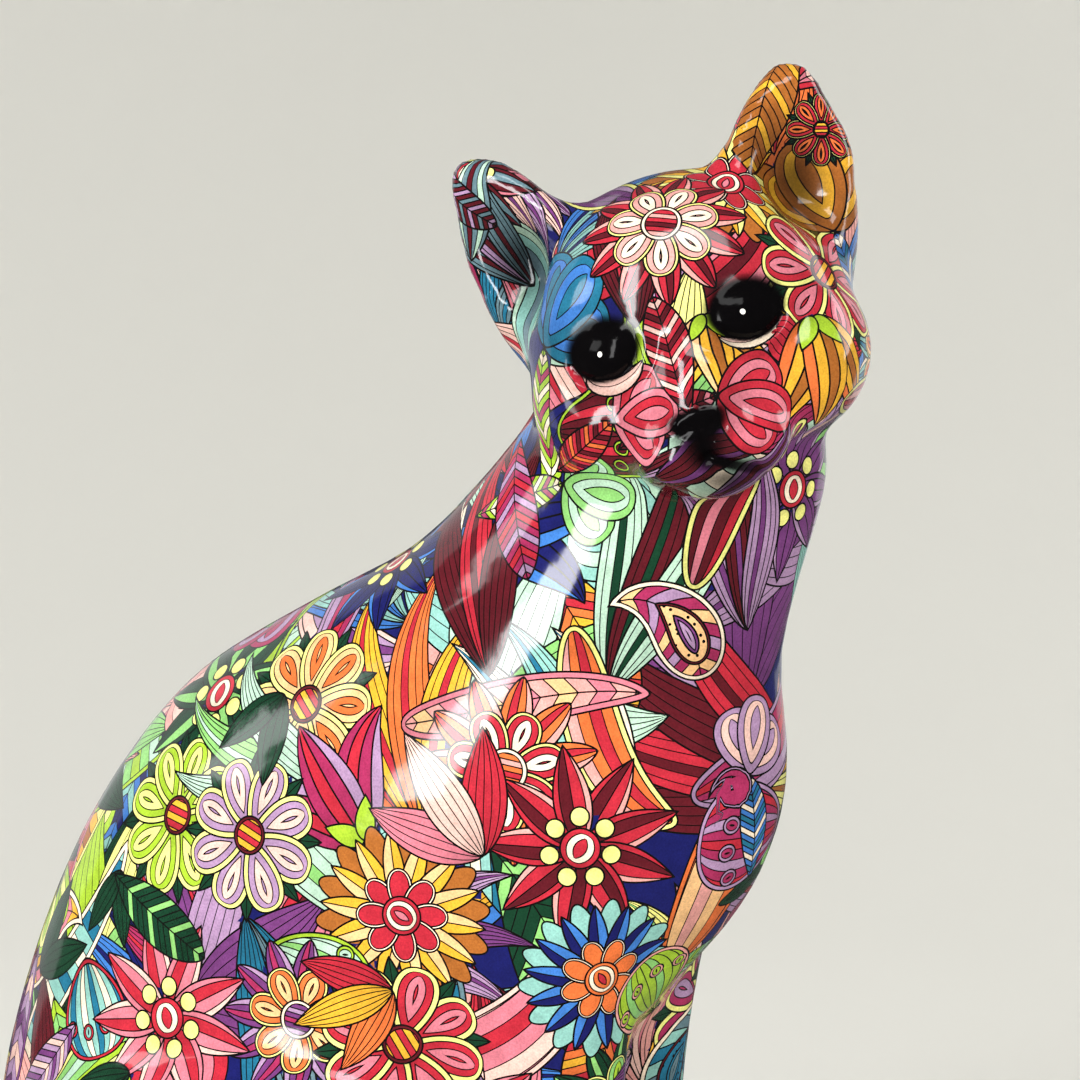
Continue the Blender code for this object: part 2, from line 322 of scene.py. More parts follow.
def spray_and_painted_shade(mesh):
    """How dark the skin is made: black sprayed on at the eyes, nose and mouth, painted shade in
    the mouth's opening, and both in the depth of the ears.
    """
    x, y, z = mesh_in_head(mesh)[1].T
    across = x - FACE_MID
    front = y < FRONT
    rise = eased(0.5 + 0.6 * (z - EYE[1]) / EYE_HALF[1])
    eye = eased((1.16 + 0.42 * rise - eye_reach(x, z)) / (0.12 + 0.42 * rise))
    nose = eased((1.5 - nose_reach(x, z)) / 0.65)
    away, share, furrow = from_mouth(x, z)
    drip = 0.97 * bump(furrow, np.interp(z, (-28.5, -21.5), (2.8, 6.2)))
    fade = np.where(across < 0, np.clip(0.8 - 1.6 * share, 0, 1), 1.0)
    mouth = fade * (1 - 0.4 * share**3) * np.maximum(
        np.clip(1.25 * bump(away, 1.5), 0, 1), 0.55 * bump(away, 3.6)
    )
    # Painted shade: the dark of the mouth's opening, between the lip and the chin
    mouth_opening_shade = 0.72 * bump(np.hypot((across - 2.0) / 6.5, (z + 31.8) / 3.2), 1.0)
    haze = 0.24 * np.maximum(bump(eye_reach(x, z), 1.75), bump(nose_reach(x, z), 2.0))
    black_and_shade = np.where(front, np.maximum.reduce([eye, nose, drip, mouth, mouth_opening_shade, haze]), 0.0)
    # Deep in the ear hollows: partly sprayed black, partly painted shade
    ear = 0.66 * bump(np.hypot((np.abs(x) - 31.0) / 6.5, (z - 26.5) / 10.0), 1.0) * (z > 8)
    thin = 1 - np.maximum(black_and_shade, np.where(front | (y < 8), ear, 0.0))
    black_and_shade = 1 - thin**SPRAY_AND_SHADE_BUILD
    held = mesh.attributes.new("spray_and_painted_shade", "FLOAT", "POINT")
    held.data.foreach_set("value", black_and_shade)


def eye_lights(mesh):
    """Where the painted highlight, a white dot, stands on each eye."""
    spots, inside = mesh_in_head(mesh)
    x, y, z = inside.T
    places = []
    for side in (-1, 1):
        across = x - FACE_MID - side * EYE[0] + LIGHT_SHIFT
        away = np.hypot(across, z - EYE[1]) + 99 * (y > FRONT)
        places.append(tuple(spots[away.argmin()]))
    return places


def settle(bm):
    """Stands the skin flat on the table."""
    for vert in bm.verts:
        if vert.co.z < 0.35:
            vert.co.z = 0.0


def finished_skin():
    bm = casting()
    refine_face(bm)
    carve_face(bm)
    settle(bm)
    bmesh.ops.transform(bm, matrix=Matrix.Scale(MM, 4), verts=bm.verts)
    mesh = bpy.data.meshes.new("cat_skin")
    bm.to_mesh(mesh)
    bm.free()
    mesh.shade_smooth()
    spray_and_painted_shade(mesh)
    cat = bpy.data.objects.new("cat_skin", mesh)
    bpy.context.scene.collection.objects.link(cat)
    return cat


# ---------------------------------------------------------------- drawing on the skin
INK_LINE = 0.44  # mm, the print's black outline
BEYOND_COST = 40.0  # how steeply a shape ends past either end of its line
LAYERS = 4  # printed shapes that may meet in one triangle of the skin
INK_TABLES = ("edge", "ink_a", "ink_b", "ink_c")
WALK_STEP = 1.2  # mm between points of a shape's own line
CELL = 6.0  # mm, side of the cells that hold the skin's triangles
UNDER = -0.15  # mm outside its outline up to which a shape is kept on a triangle
PROBES = np.array(  # where a triangle is tested, as shares of its corners
    [
        *((1, 0, 0), (0, 1, 0), (0, 0, 1)),
        *((0.5, 0.5, 0), (0, 0.5, 0.5), (0.5, 0, 0.5)),
        (1 / 3, 1 / 3, 1 / 3),
    ]
)


class Skin:
    """The casting's skin as arrays in millimetres, with a search tree."""

    def __init__(self, mesh):
        count = len(mesh.vertices)
        self.points = np.empty(count * 3)
        mesh.vertices.foreach_get("co", self.points)
        self.points = self.points.reshape(-1, 3) / MM
        self.normals = np.array([vert.normal[:] for vert in mesh.vertices])
        self.tris = np.empty(len(mesh.polygons) * 3, np.int32)
        mesh.polygons.foreach_get("vertices", self.tris)
        self.tris = self.tris.reshape(-1, 3)
        self.corners = self.points[self.tris]
        self.centres = self.corners.mean(axis=1)
        across = np.cross(
            self.corners[:, 1] - self.corners[:, 0], self.corners[:, 2] - self.corners[:, 0]
        )
        double = np.linalg.norm(across, axis=1)
        self.areas = double / 2
        self.facing = across / np.maximum(double, 1e-9)[:, None]
        self.tree = BVHTree.FromPolygons(self.points.tolist(), self.tris.tolist())
        cells = np.floor(self.centres / CELL).astype(int)
        self.cells = {}
        order = np.lexsort(cells.T)
        breaks = np.flatnonzero(np.any(np.diff(cells[order], axis=0), axis=1)) + 1
        for group in np.split(order, breaks):
            self.cells[tuple(cells[group[0]])] = group

    def within(self, low, high):
        """The triangles in the cells that a box meets."""
        spans = [
            range(int(math.floor(a / CELL)), int(math.floor(b / CELL)) + 1)
            for a, b in zip(low, high)
        ]
        found = [
            self.cells[x, y, z]
            for x in spans[0]
            for y in spans[1]
            for z in spans[2]
            if (x, y, z) in self.cells
        ]
        return np.concatenate(found) if found else np.empty(0, int)

    def touch(self, point):
        """The skin's nearest point and its smooth normal."""
        place, _, tri, _ = self.tree.find_nearest(point)
        a, b, c = self.tris[tri]
        corner = [Vector(self.points[i]) for i in (a, b, c)]
        normal = [Vector(self.normals[i]) for i in (a, b, c)]
        return place, barycentric_transform(place, *corner, *normal).normalized()

    def from_inside(self, centre, direction):
        place = self.tree.ray_cast(Vector(centre), Vector(direction))[0]
        return self.touch(place)[0]


def laid_flat(direction, normal):
    """A direction laid into the skin's plane."""
    flat = direction - normal * direction.dot(normal)
    return flat.normalized() if flat.length > 1e-6 else normal.orthogonal().normalized()


def turned(skin, point, heading, degrees):
    """A heading turned clockwise in the skin at a point, as seen from outside."""
    normal = skin.touch(point)[1]
    return Matrix.Rotation(math.radians(-degrees), 3, normal) @ laid_flat(heading, normal)


def clock(skin, point, degrees):
    """A direction in the skin, in degrees clockwise from upwards as seen from outside."""
    return turned(skin, point, Vector((0, 0, 1)), degrees)


def walk(skin, start, heading, length, bend=(0.0, 0.0), lead=0.0):
    """A line along the skin: at each step its point, its direction and the skin's normal.

    bend is how it turns at its start and at its end, in degrees per millimetre.
    """
    place, normal = skin.touch(start)
    heading = laid_flat(heading, normal)
    if lead:
        place, normal = skin.touch(place + heading * lead)
        heading = laid_flat(heading, normal)
    steps = max(2, math.ceil(length / WALK_STEP))
    stride = length / steps
    line = [(place, heading, normal)]
    for step in range(steps):
        share = (step + 0.5) / steps
        turn = (bend[0] * (1 - share) + bend[1] * share) * stride
        heading = Matrix.Rotation(math.radians(turn), 3, normal) @ heading
        place, normal = skin.touch(place + heading * stride)
        heading = laid_flat(heading, normal)
        line.append((place, heading, normal))
    return line


def edge_distance(along, across, length, swell, start, end):
    """Millimetres in from the outline of a shape whose half width is swell t^start (1-t)^end."""
    t = along / length
    inner = np.clip(t, 0.002, 0.998)
    half = swell * inner**start * (1 - inner) ** end
    slope = half * (start / inner - end / (1 - inner)) / length
    side = np.abs(across)
    gap = half - side
    straight = gap / np.sqrt(1 + slope**2)
    rounded = gap * (half + side) / (2 * np.sqrt((half * slope) ** 2 + side**2) + 1e-4)
    beyond = np.maximum(np.maximum(-t, t - 1) * length, 0)
    return np.minimum(straight, rounded) - BEYOND_COST * beyond


class Print:
    """The printed shapes, in the order drawn, and what they leave on the skin."""

    def __init__(self, skin):
        self.skin = skin
        self.shapes = []

    def shape(
        self,
        start,
        heading,
        length,
        width,
        ends=(0.5, 0.5),
        bend=(0.0, 0.0),
        lead=0.0,
        rim=0.0,
        ribs=0.0,
        rings=0.0,
        bars=0.0,
        slant=0.0,
        dots=0.0,
        weight=1.0,
        inks=("crimson",),
        edge="pale yellow",
        course=None,
        stretch=(0.0, 1.0),
    ):
        """Draws one shape round a line on the skin.

        ends: how its two ends close, 0.5 round, 1 pointed, 1.5 drawn out. rim: width of its
        edge band. ribs: lines on each side of the middle. rings and bars: pitch in mm of
        bands along its outline and across it, with slant making the bars a feather. dots:
        their pitch, less than 0 when they lie in the rim. weight: of the inner lines.
        It gives back its course, on a stretch of which another shape may be drawn.
        """
        if course is None:
            line = walk(self.skin, start, heading, length, bend, lead)
        else:
            line, whole = course
            first, last = (round(share * (len(line) - 1)) for share in stretch)
            length = whole * (last - first) / (len(line) - 1)
            line = line[first : last + 1]
        peak = ends[0] / (ends[0] + ends[1])
        swell = width / 2 / (peak ** ends[0] * (1 - peak) ** ends[1])
        inks = tuple(inks) + (inks[-1],) * (3 - len(inks))
        self.shapes.append(
            {
                "line": line,
                "width": width,
                "form": (length, swell, ends[0]),
                "close": (ends[1], rim, weight),
                "pattern": (ribs, 1 / rings if rings else 0.0, 1 / bars if bars else 0.0),
                "detail": (slant, dots, 0.0),
                **{name: linear(ink) for name, ink in zip(INK_TABLES, (edge, *inks))},
            }
        )
        return line, length

    def settled(self):
        """The shapes as per-triangle tables, the top shape in layer 0."""
        count = len(self.skin.tris)
        filled = np.zeros(count, int)
        hidden = np.zeros(count, bool)
        place = np.zeros((LAYERS, count, 3, 3), np.float32)
        place[..., 1] = -99.0
        place[..., 0] = 99.0
        tables = {
            name: np.zeros((LAYERS, count, 3), np.float32)
            for name in ("form", "close", "pattern", "detail", *INK_TABLES)
        }
        tables["form"][:] = (1.0, 1.0, 1.0)
        tables["close"][:] = (1.0, 0.0, 1.0)
        for shape in reversed(self.shapes):
            axis, heading, normal = (
                np.array([row[i][:] for row in shape["line"]]) for i in range(3)
            )
            length, swell, start = shape["form"]
            end = shape["close"][0]
            reach = shape["width"] * 0.55 + 1
            near = self.skin.within(axis.min(axis=0) - reach, axis.max(axis=0) + reach)
            near = near[~hidden[near]]
            if not len(near):
                continue
            corners = self.skin.corners[near].reshape(-1, 3)
            apart = ((corners[:, None] - axis[None]) ** 2).sum(axis=2)
            closest = apart.argmin(axis=1)
            facing = np.repeat(self.skin.facing[near], 3, axis=0)
            offset = corners - axis[closest]
            ahead = heading[closest]
            side = np.cross(ahead, normal[closest])
            stride = length / (len(axis) - 1)
            turning = np.cross(np.roll(heading, 1, axis=0), np.roll(heading, -1, axis=0))
            curve = (turning * normal).sum(axis=1) / (2 * stride)
            curve[[0, -1]] = curve[[1, -2]]
            sideways = (offset * side).sum(axis=1)
            depth = (offset * normal[closest]).sum(axis=1)
            across = np.sign(sideways) * np.hypot(sideways, depth)
            squeeze = np.clip(1 + curve[closest] * sideways, 0.35, 3.0)
            along = closest * stride + (offset * ahead).sum(axis=1) / squeeze
            lies_away = (facing * normal[closest]).sum(axis=1) < 0.1
            along, across = along.reshape(-1, 3), across.reshape(-1, 3)
            probed = [
                edge_distance(along @ mix, across @ mix, length, swell, start, end)
                for mix in PROBES
            ]
            reached = np.stack(probed, axis=1)
            reached[lies_away.reshape(-1, 3).any(axis=1)] = -99
            touched = reached.max(axis=1) > UNDER
            near, reached = near[touched], reached[touched]
            room = filled[near] < LAYERS
            near, reached = near[room], reached[room]
            rows = np.flatnonzero(touched)[room]
            level = filled[near]
            here = np.stack([across, along, np.zeros_like(along)], axis=2)
            place[level, near] = here[rows]
            for name, table in tables.items():
                table[level, near] = shape[name]
            filled[near] += 1
            hidden[near] |= reached.min(axis=1) > 0.05
        return place, tables


def store_print(mesh, place, tables):
    """Keeps the print on the mesh, where the print's material reads it."""
    for level in range(LAYERS):
        held = mesh.attributes.new(f"place_{level}", "FLOAT_VECTOR", "CORNER")
        held.data.foreach_set("vector", place[level].ravel())
        for name, table in tables.items():
            held = mesh.attributes.new(f"{name}_{level}", "FLOAT_VECTOR", "FACE")
            held.data.foreach_set("vector", table[level].ravel())


# ---------------------------------------------------------------- figures of the print
def ring_of(art, at, heading, count, length, width, ends, first=0, between=0, **finish):
    """The same petal or ray all round a point, from so many degrees or shares of a gap."""
    for number in range(count):
        way = turned(art.skin, at, heading, first + 360 * (number + between) / count)
        art.shape(at, way, length, width, ends, **finish)


def ringed_blossom(art, at, heading, size, inks, petals=8):
    """Round petals, each edged and ringed, over small pointed sepals, with a barred heart."""
    ring_of(
        art, at, heading, petals, size * 1.1, size * 0.3, (0.9, 0.9), between=0.5,
        ribs=1, weight=0.8, inks=("forest",),
    )
    ring_of(
        art, at, heading, petals, size, size * 4.7 / petals, (0.85, 0.42), rim=size * 0.085,
        rings=size * 0.095, inks=inks,
    )
    disc(
        art, at, heading, size * 0.25, rim=size * 0.06, bars=size * 0.085,
        inks=("golden", "crimson"), edge="maroon",
    )


def disc(art, at, heading, radius, **finish):
    art.shape(at, heading, 2 * radius, 2 * radius, (0.5, 0.5), lead=-radius, **finish)


def star_flower(art, at, heading, size, inks, petals=9, beads=7):
    """A pointed flower, its petals striped along, with a ring of beads round its heart."""
    ring_of(art, at, heading, petals, size, size * 3.4 / petals, (0.75, 1.0), ribs=1.6, inks=inks)
    for number in range(beads):
        way = turned(art.skin, at, heading, 20 + 360 * number / beads)
        place = walk(art.skin, at, way, size * 0.3)[-1]
        disc(art, place[0], place[1], size * 0.1, inks=("pale yellow",))
    disc(art, at, heading, size * 0.2, rings=size * 0.07, inks=("crimson", "cream", "magenta"))


def paisley(art, at, heading, size, hand, inks, ground):
    """A drop with a curled tail: a barred body in a pale edge, and a plain dotted drop in it."""
    curl = 95.0 / size
    course = art.shape(
        at, heading, size, size * 0.5, (0.5, 1.05), bend=(hand * curl * 0.25, hand * curl * 2.2),
        rim=size * 0.04, bars=size * 0.09, slant=0.7, inks=(ground, *inks[:2]), edge="cream",
    )
    art.shape(
        None, None, 0.0, size * 0.27, (0.5, 0.9), rim=size * 0.025, dots=size * 0.06,
        inks=(inks[0],), edge="maroon", course=course, stretch=(0.12, 0.66),
    )
    art.shape(
        None, None, 0.0, size * 0.12, (0.6, 0.8), rings=size * 0.03, inks=inks[::-1],
        course=course, stretch=(0.2, 0.5),
    )


def sunburst(art, at, heading, size, inks, others, points=14):
    """Two rows of narrow rays, striped and plain, round a large barred disc."""
    ring_of(
        art, at, heading, points, size, size * 4.6 / points, (0.6, 0.5), between=0.5,
        inks=(inks[1],),
    )
    ring_of(
        art, at, heading, points, size * 0.94, size * 3.6 / points, (0.8, 0.8), ribs=1, inks=inks
    )
    ring_of(
        art, at, heading, 8, size * 0.52, size * 0.3, (0.8, 0.5), first=12, rim=size * 0.04,
        inks=(others[0],), edge=others[1],
    )
    disc(art, at, heading, size * 0.22, rings=size * 0.06, inks=others)


def leaf(
    art, at, heading, length, width, ink, ribs=3, bend=(0.0, 0.0), weight=0.8, ends=(0.75, 1.0)
):
    """A long leaf with fine ribs that run from its root to its tip."""
    inks = ink if isinstance(ink, tuple) else (ink,)
    return art.shape(at, heading, length, width, ends, bend, ribs=ribs, weight=weight, inks=inks)


def leaf_spray(art, at, heading, length, inks, count=3, spread=24.0, curl=0.6, width=0.2, ribs=3):
    """Leaves that fan from one root, the middle one on top."""
    order = sorted(range(count), key=lambda n: -abs(n - (count - 1) / 2))
    for number in order:
        lean = number - (count - 1) / 2
        way = turned(art.skin, at, heading, lean * spread)
        long = length * (1 - 0.12 * abs(lean))
        bend = (-lean * curl, lean * curl * 1.6)
        leaf(art, at, way, long, length * width, inks[number % len(inks)], ribs, bend)


def feather(art, at, heading, length, width, inks, bend=(0.0, 0.0)):
    """A feather leaf: slanted bars either side of its rib."""
    art.shape(
        at, heading, length, width, (0.7, 0.95), bend, bars=length * 0.058, slant=0.9, inks=inks
    )


def curl(art, at, heading, size, hand, ink, edge):
    """A tendril that rolls up into a spiral."""
    art.shape(
        at, heading, size * 2.1, size * 0.3, (0.9, 0.5), (hand * 40 / size, hand * 640 / size),
        rim=0.8, inks=(ink,), edge=edge,
    )


def beaded_fan(art, at, heading, size, inks, beads):
    """A striped fan with a row of ringed beads along its open edge."""
    art.shape(
        at, heading, size, size * 0.95, (0.7, 0.42), ribs=5, rim=size * 0.05,
        inks=inks, edge=beads,
    )
    for degrees in (-30, -10, 10, 30):
        way = turned(art.skin, at, heading, degrees)
        place = walk(art.skin, at, way, size * 0.72)[-1]
        disc(art, place[0], place[1], size * 0.085, rings=size * 0.04, inks=(beads, inks[0]))


def bud(art, at, heading, size, inks):
    """A closed bud of three heavy petals in a small cup."""
    for degrees in (-26, 26, 0):
        way = turned(art.skin, at, heading, degrees)
        leaf(art, at, way, size, size * 0.42, inks, 2, (0.0, -degrees * 0.12), 1.5, (0.6, 0.9))
    for degrees in (-38, 38):
        way = turned(art.skin, at, heading, degrees)
        art.shape(at, way, size * 0.34, size * 0.17, (0.6, 1.0), inks=("lime",))


def rosette(art, at, heading, size, inks, others, petals=11):
    """A layered round flower: striped points, then round ringed petals, then a barred eye."""
    ring_of(art, at, heading, petals, size, size * 4.0 / petals, (0.8, 0.7), ribs=2, inks=inks)
    ring_of(
        art, at, heading, 7, size * 0.66, size * 0.42, (0.8, 0.45), first=14, rim=size * 0.05,
        rings=size * 0.075, inks=others,
    )
    disc(
        art, at, heading, size * 0.24, rim=size * 0.06, bars=size * 0.06, inks=inks, edge="cream"
    )


def plume(art, at, heading, length, hand, inks, edge="pale yellow"):
    """A broad curving band with an edge, striped along, that rolls in at its end."""
    turn = hand * 60.0 / length
    art.shape(
        at, heading, length, length * 0.26, (0.45, 0.5), bend=(-turn * 0.6, turn * 2.6),
        rim=1.5, ribs=2.5, weight=0.9, inks=inks, edge=edge,
    )


def chevron_band(art, at, heading, length, hand, inks, edge):
    """A broad band of chevrons with an edge of another colour."""
    turn = hand * 40.0 / length
    art.shape(
        at, heading, length, length * 0.2, (0.4, 0.55), bend=(turn, -turn * 1.8),
        rim=1.6, bars=4.2, slant=0.8, inks=inks, edge=edge,
    )


def stream(art, at, heading, length, inks, hand=1, count=4, width=0.17):
    """Long leaves that leave one root together and sway the same way."""
    for number in range(count):
        lean = number - (count - 1) / 2
        way = turned(art.skin, at, heading, lean * 15.0)
        long = length * (1 - 0.1 * abs(lean))
        sway = hand * 70.0 / long
        leaf(
            art, at, way, long, length * width, (inks[number % 2], inks[number % 2], inks[2]),
            3, (sway * 0.7, -sway * (1.5 + 0.3 * lean)), 0.8,
        )


def shells(art, at, heading, size, inks):
    """Three scalloped fans side by side, each of rings within rings."""
    for degrees, scale in ((-34, 1.0), (34, 1.0), (0, 1.12)):
        way = turned(art.skin, at, heading, degrees)
        art.shape(at, way, size * scale, size * 0.72, (0.75, 0.42), rings=size * 0.13, inks=inks)


# ---------------------------------------------------------------- the print's layout
BODY_LINE = (  # height, and how far back the middle of the body lies there
    (10.0, 25.0), (87.0, 33.0), (129.0, 27.0), (160.0, 9.0), (192.0, -15.0),
    (216.0, -36.0), (237.0, -49.0), (257.0, -61.0), (275.0, -72.0),
)


def on_body(skin, height, around):
    """The skin at a height, in degrees round the body from its front towards its right side."""
    heights, depths = zip(*BODY_LINE)
    centre = Vector((ROW_SHIFT.x, float(np.interp(height, heights, depths)), height))
    turn = math.radians(around)
    return skin.from_inside(centre, (-math.sin(turn), -math.cos(turn), 0.0))


def on_head(skin, turn, rise):
    """The skin of the head, in degrees to its own left and upwards from straight ahead."""
    way = Vector(
        (
            math.sin(math.radians(turn)) * math.cos(math.radians(rise)),
            -math.cos(math.radians(turn)) * math.cos(math.radians(rise)),
            math.sin(math.radians(rise)),
        )
    )
    return skin.from_inside(HEAD_CENTRE, head_place().to_3x3() @ way)


FAMILIES = {  # inks that are printed together, in threes
    name: tuple(tuple(threes.split(" + ")) for threes in row.split(", "))
    for name, row in (
        ("deep", "navy + sky + navy, maroon + crimson + maroon, forest + leaf + forest"),
        # Dull, dark inks for the cat's right ear: partly the print's own colours, partly painted
        # shade on that side
        ("muted_and_shaded", "slate + lilac + maroon, maroon + rose + slate, forest + leaf + slate"),
        ("stream", "mint + cream + mint, mint + mint + leaf, aqua + mint + slate"),
        ("ember", "crimson + rose + maroon, crimson + pink + maroon, rose + shell + crimson"),
        ("peach", "orange + pink + crimson, pink + shell + rose, peach + orange + pink"),
        ("gold", "golden + ochre + peach, orange + golden + crimson, "
                 "golden + pale yellow + ochre"),
        ("violet", "purple + lilac + purple, lilac + shell + purple, magenta + lilac + crimson"),
        ("lake", "sky + aqua + navy, teal + slate + teal, aqua + cream + teal"),
        ("meadow", "lime + pale yellow + leaf, forest + forest + leaf, leaf + lime + mint"),
    )
}
BODY_AREAS = (  # height, degrees round the body, and the families printed there
    # The throat under the head takes dark inks: partly the print's navy ground, partly painted
    # shade under the head
    (258, 45, "deep", "stream"), (250, 0, "violet", "deep"), (247, 95, "deep", "violet"),
    (236, 122, "deep", "lake"), (226, 66, "peach", "stream"), (222, 10, "violet", "deep"),
    (216, 118, "peach", "meadow"), (210, 36, "gold", "meadow"), (205, 86, "violet", "stream"),
    (190, 112, "stream", "violet"), (184, 58, "gold", "ember"), (178, 28, "lake", "gold"),
    (178, 86, "stream", "deep"), (165, 0, "violet", "peach"), (150, 48, "ember", "gold"),
    (150, 8, "meadow", "peach"), (150, 90, "violet", "deep"), (146, 128, "lake", "meadow"),
    (112, 62, "ember", "lake"), (105, 20, "gold", "violet"), (105, 110, "meadow", "ember"),
    (70, 80, "violet", "gold"), (62, 130, "lake", "peach"), (55, 30, "stream", "ember"),
    (25, 95, "peach", "ember"), (25, 20, "ember", "gold"), (25, 160, "violet", "lake"),
    (250, -70, "stream", "ember"), (232, 180, "violet", "deep"), (215, -75, "ember", "gold"),
    (200, 165, "meadow", "violet"), (190, -40, "peach", "ember"), (185, -110, "lake", "violet"),
    (160, 180, "ember", "gold"), (150, -70, "gold", "ember"), (140, -130, "peach", "meadow"),
    (110, -30, "violet", "lake"), (105, -95, "stream", "ember"), (100, 180, "violet", "peach"),
    (65, -60, "ember", "meadow"), (60, -140, "gold", "lake"), (25, -90, "lake", "violet"),
)
HEAD_AREAS = (  # degrees to the cat's left of its face, and upwards
    (42, 26, "gold", "ember"), (62, -4, "gold", "ember"), (14, 46, "ember", "gold"),
    (-30, 48, "violet", "lake"), (-44, 20, "lake", "violet"), (-8, 18, "ember", "lake"),
    (-50, -18, "ember", "meadow"), (30, -26, "ember", "gold"), (-12, -42, "violet", "meadow"),
    (48, -46, "violet", "ember"), (-90, 10, "stream", "ember"), (95, 8, "peach", "lake"),
    (180, 30, "violet", "stream"), (130, 20, "ember", "gold"), (-135, 20, "lake", "peach"),
    (62, 44, "gold", "ember"), (85, 50, "gold", "lake"), (-60, 42, "muted_and_shaded", "lake"),
    # (-60, 42) and (-85, 50): the cat's right ear in dull, dark inks, partly painted shade
    (-85, 50, "muted_and_shaded", "violet"),
)


def broad_areas(skin):
    """The places and families of the print's broad areas of colour."""
    body = [(on_body(skin, height, around), kinds) for height, around, *kinds in BODY_AREAS]
    head = [(on_head(skin, turn, rise), kinds) for turn, rise, *kinds in HEAD_AREAS]
    return body + head


def inks_at(areas, point, dice):
    """Three inks for a place, mostly from its own area's first family."""
    near = sorted(areas, key=lambda area: (area[0] - point).length)[:2]
    kinds = (near[0][1][0], near[0][1][0], near[0][1][1], near[1][1][0])
    return FAMILIES[kinds[dice.integers(len(kinds))]][dice.integers(3)]


def scattered(skin, apart, dice, limit=4000, clear=()):
    """Places over the whole skin, at least so far apart and clear of others."""
    chosen = dice.choice(len(skin.tris), size=limit, p=skin.areas / skin.areas.sum())
    kept = np.empty((0, 3))
    for place in skin.centres[chosen]:
        if place[2] < 1.0 or any((Vector(place) - at).length < size for at, size in clear):
            continue
        if not len(kept) or (((kept - place) ** 2).sum(axis=1)).min() > apart**2:
            kept = np.vstack([kept, place])
    return [Vector(place) for place in kept]


def undergrowth(art, areas, dice):
    """Leaves and bands under everything else, so that little of the dark ground shows."""
    for at in scattered(art.skin, UNDER_APART, dice):
        inks = inks_at(areas, at, dice)
        heading = clock(art.skin, at, float(dice.normal(0, 45)))
        kind = dice.integers(8)
        hand = int(dice.choice((-1, 1)))
        length = float(dice.uniform(42, 64)) * (0.75 if at.z > HEAD_HEIGHT else 1.0)
        if kind < 3:
            stream(art, at, heading, length * 1.25, inks, hand)
        elif kind == 3:
            sway = float(dice.uniform(0.2, 1.0))
            leaf_spray(art, at, heading, length, inks, 4, 30.0, sway, 0.3)
        elif kind == 4:
            feather(art, at, heading, length, length * 0.4, inks, (0.5 * hand, -1.0 * hand))
        elif kind == 5:
            plume(art, at, heading, length * 1.2, hand, inks, inks[1])
        elif kind == 6:
            shells(art, at, heading, length * 0.55, inks)
        else:
            art.shape(
                at, heading, length * 1.4, 12.0, (0.4, 0.6), (1.0 * hand, -1.3 * hand),
                rim=1.6, bars=4.0, inks=inks, edge=inks[1],
            )


def figure(art, kind, at, heading, size, inks, others, hand):
    """One flower, drop, fan or bud by its name."""
    if kind == "rosette":
        rosette(art, at, heading, size, inks, others)
    elif kind == "star":
        star_flower(art, at, heading, size * 1.15, inks)
    elif kind == "drop":
        paisley(art, at, heading, size * 2.0, hand, others, inks[0])
    elif kind == "fan":
        beaded_fan(art, at, heading, size * 1.4, inks, others[0])
    elif kind == "sun":
        sunburst(art, at, heading, size, inks, others)
    elif kind == "bud":
        bud(art, at, heading, size * 1.5, inks)
    elif kind == "blossom":
        ringed_blossom(art, at, heading, size, inks)
    elif kind == "shells":
        shells(art, at, heading, size, inks)
        feather(art, at, turned(art.skin, at, heading, 150), size * 1.7, size * 0.55, others)
    elif kind == "leaf":
        leaf(art, at, heading, size * 2.3, size * 0.7, inks)
    elif kind == "feather":
        feather(art, at, heading, size * 2.3, size * 0.85, inks)
    elif kind == "band":
        chevron_band(art, at, heading, size * 3.2, hand, inks, inks[2])
    elif kind == "stream":
        stream(art, at, heading, size * 3.2, inks, hand, 3, 0.16)
    else:
        plume(art, at, heading, size * 2.6, hand, inks)


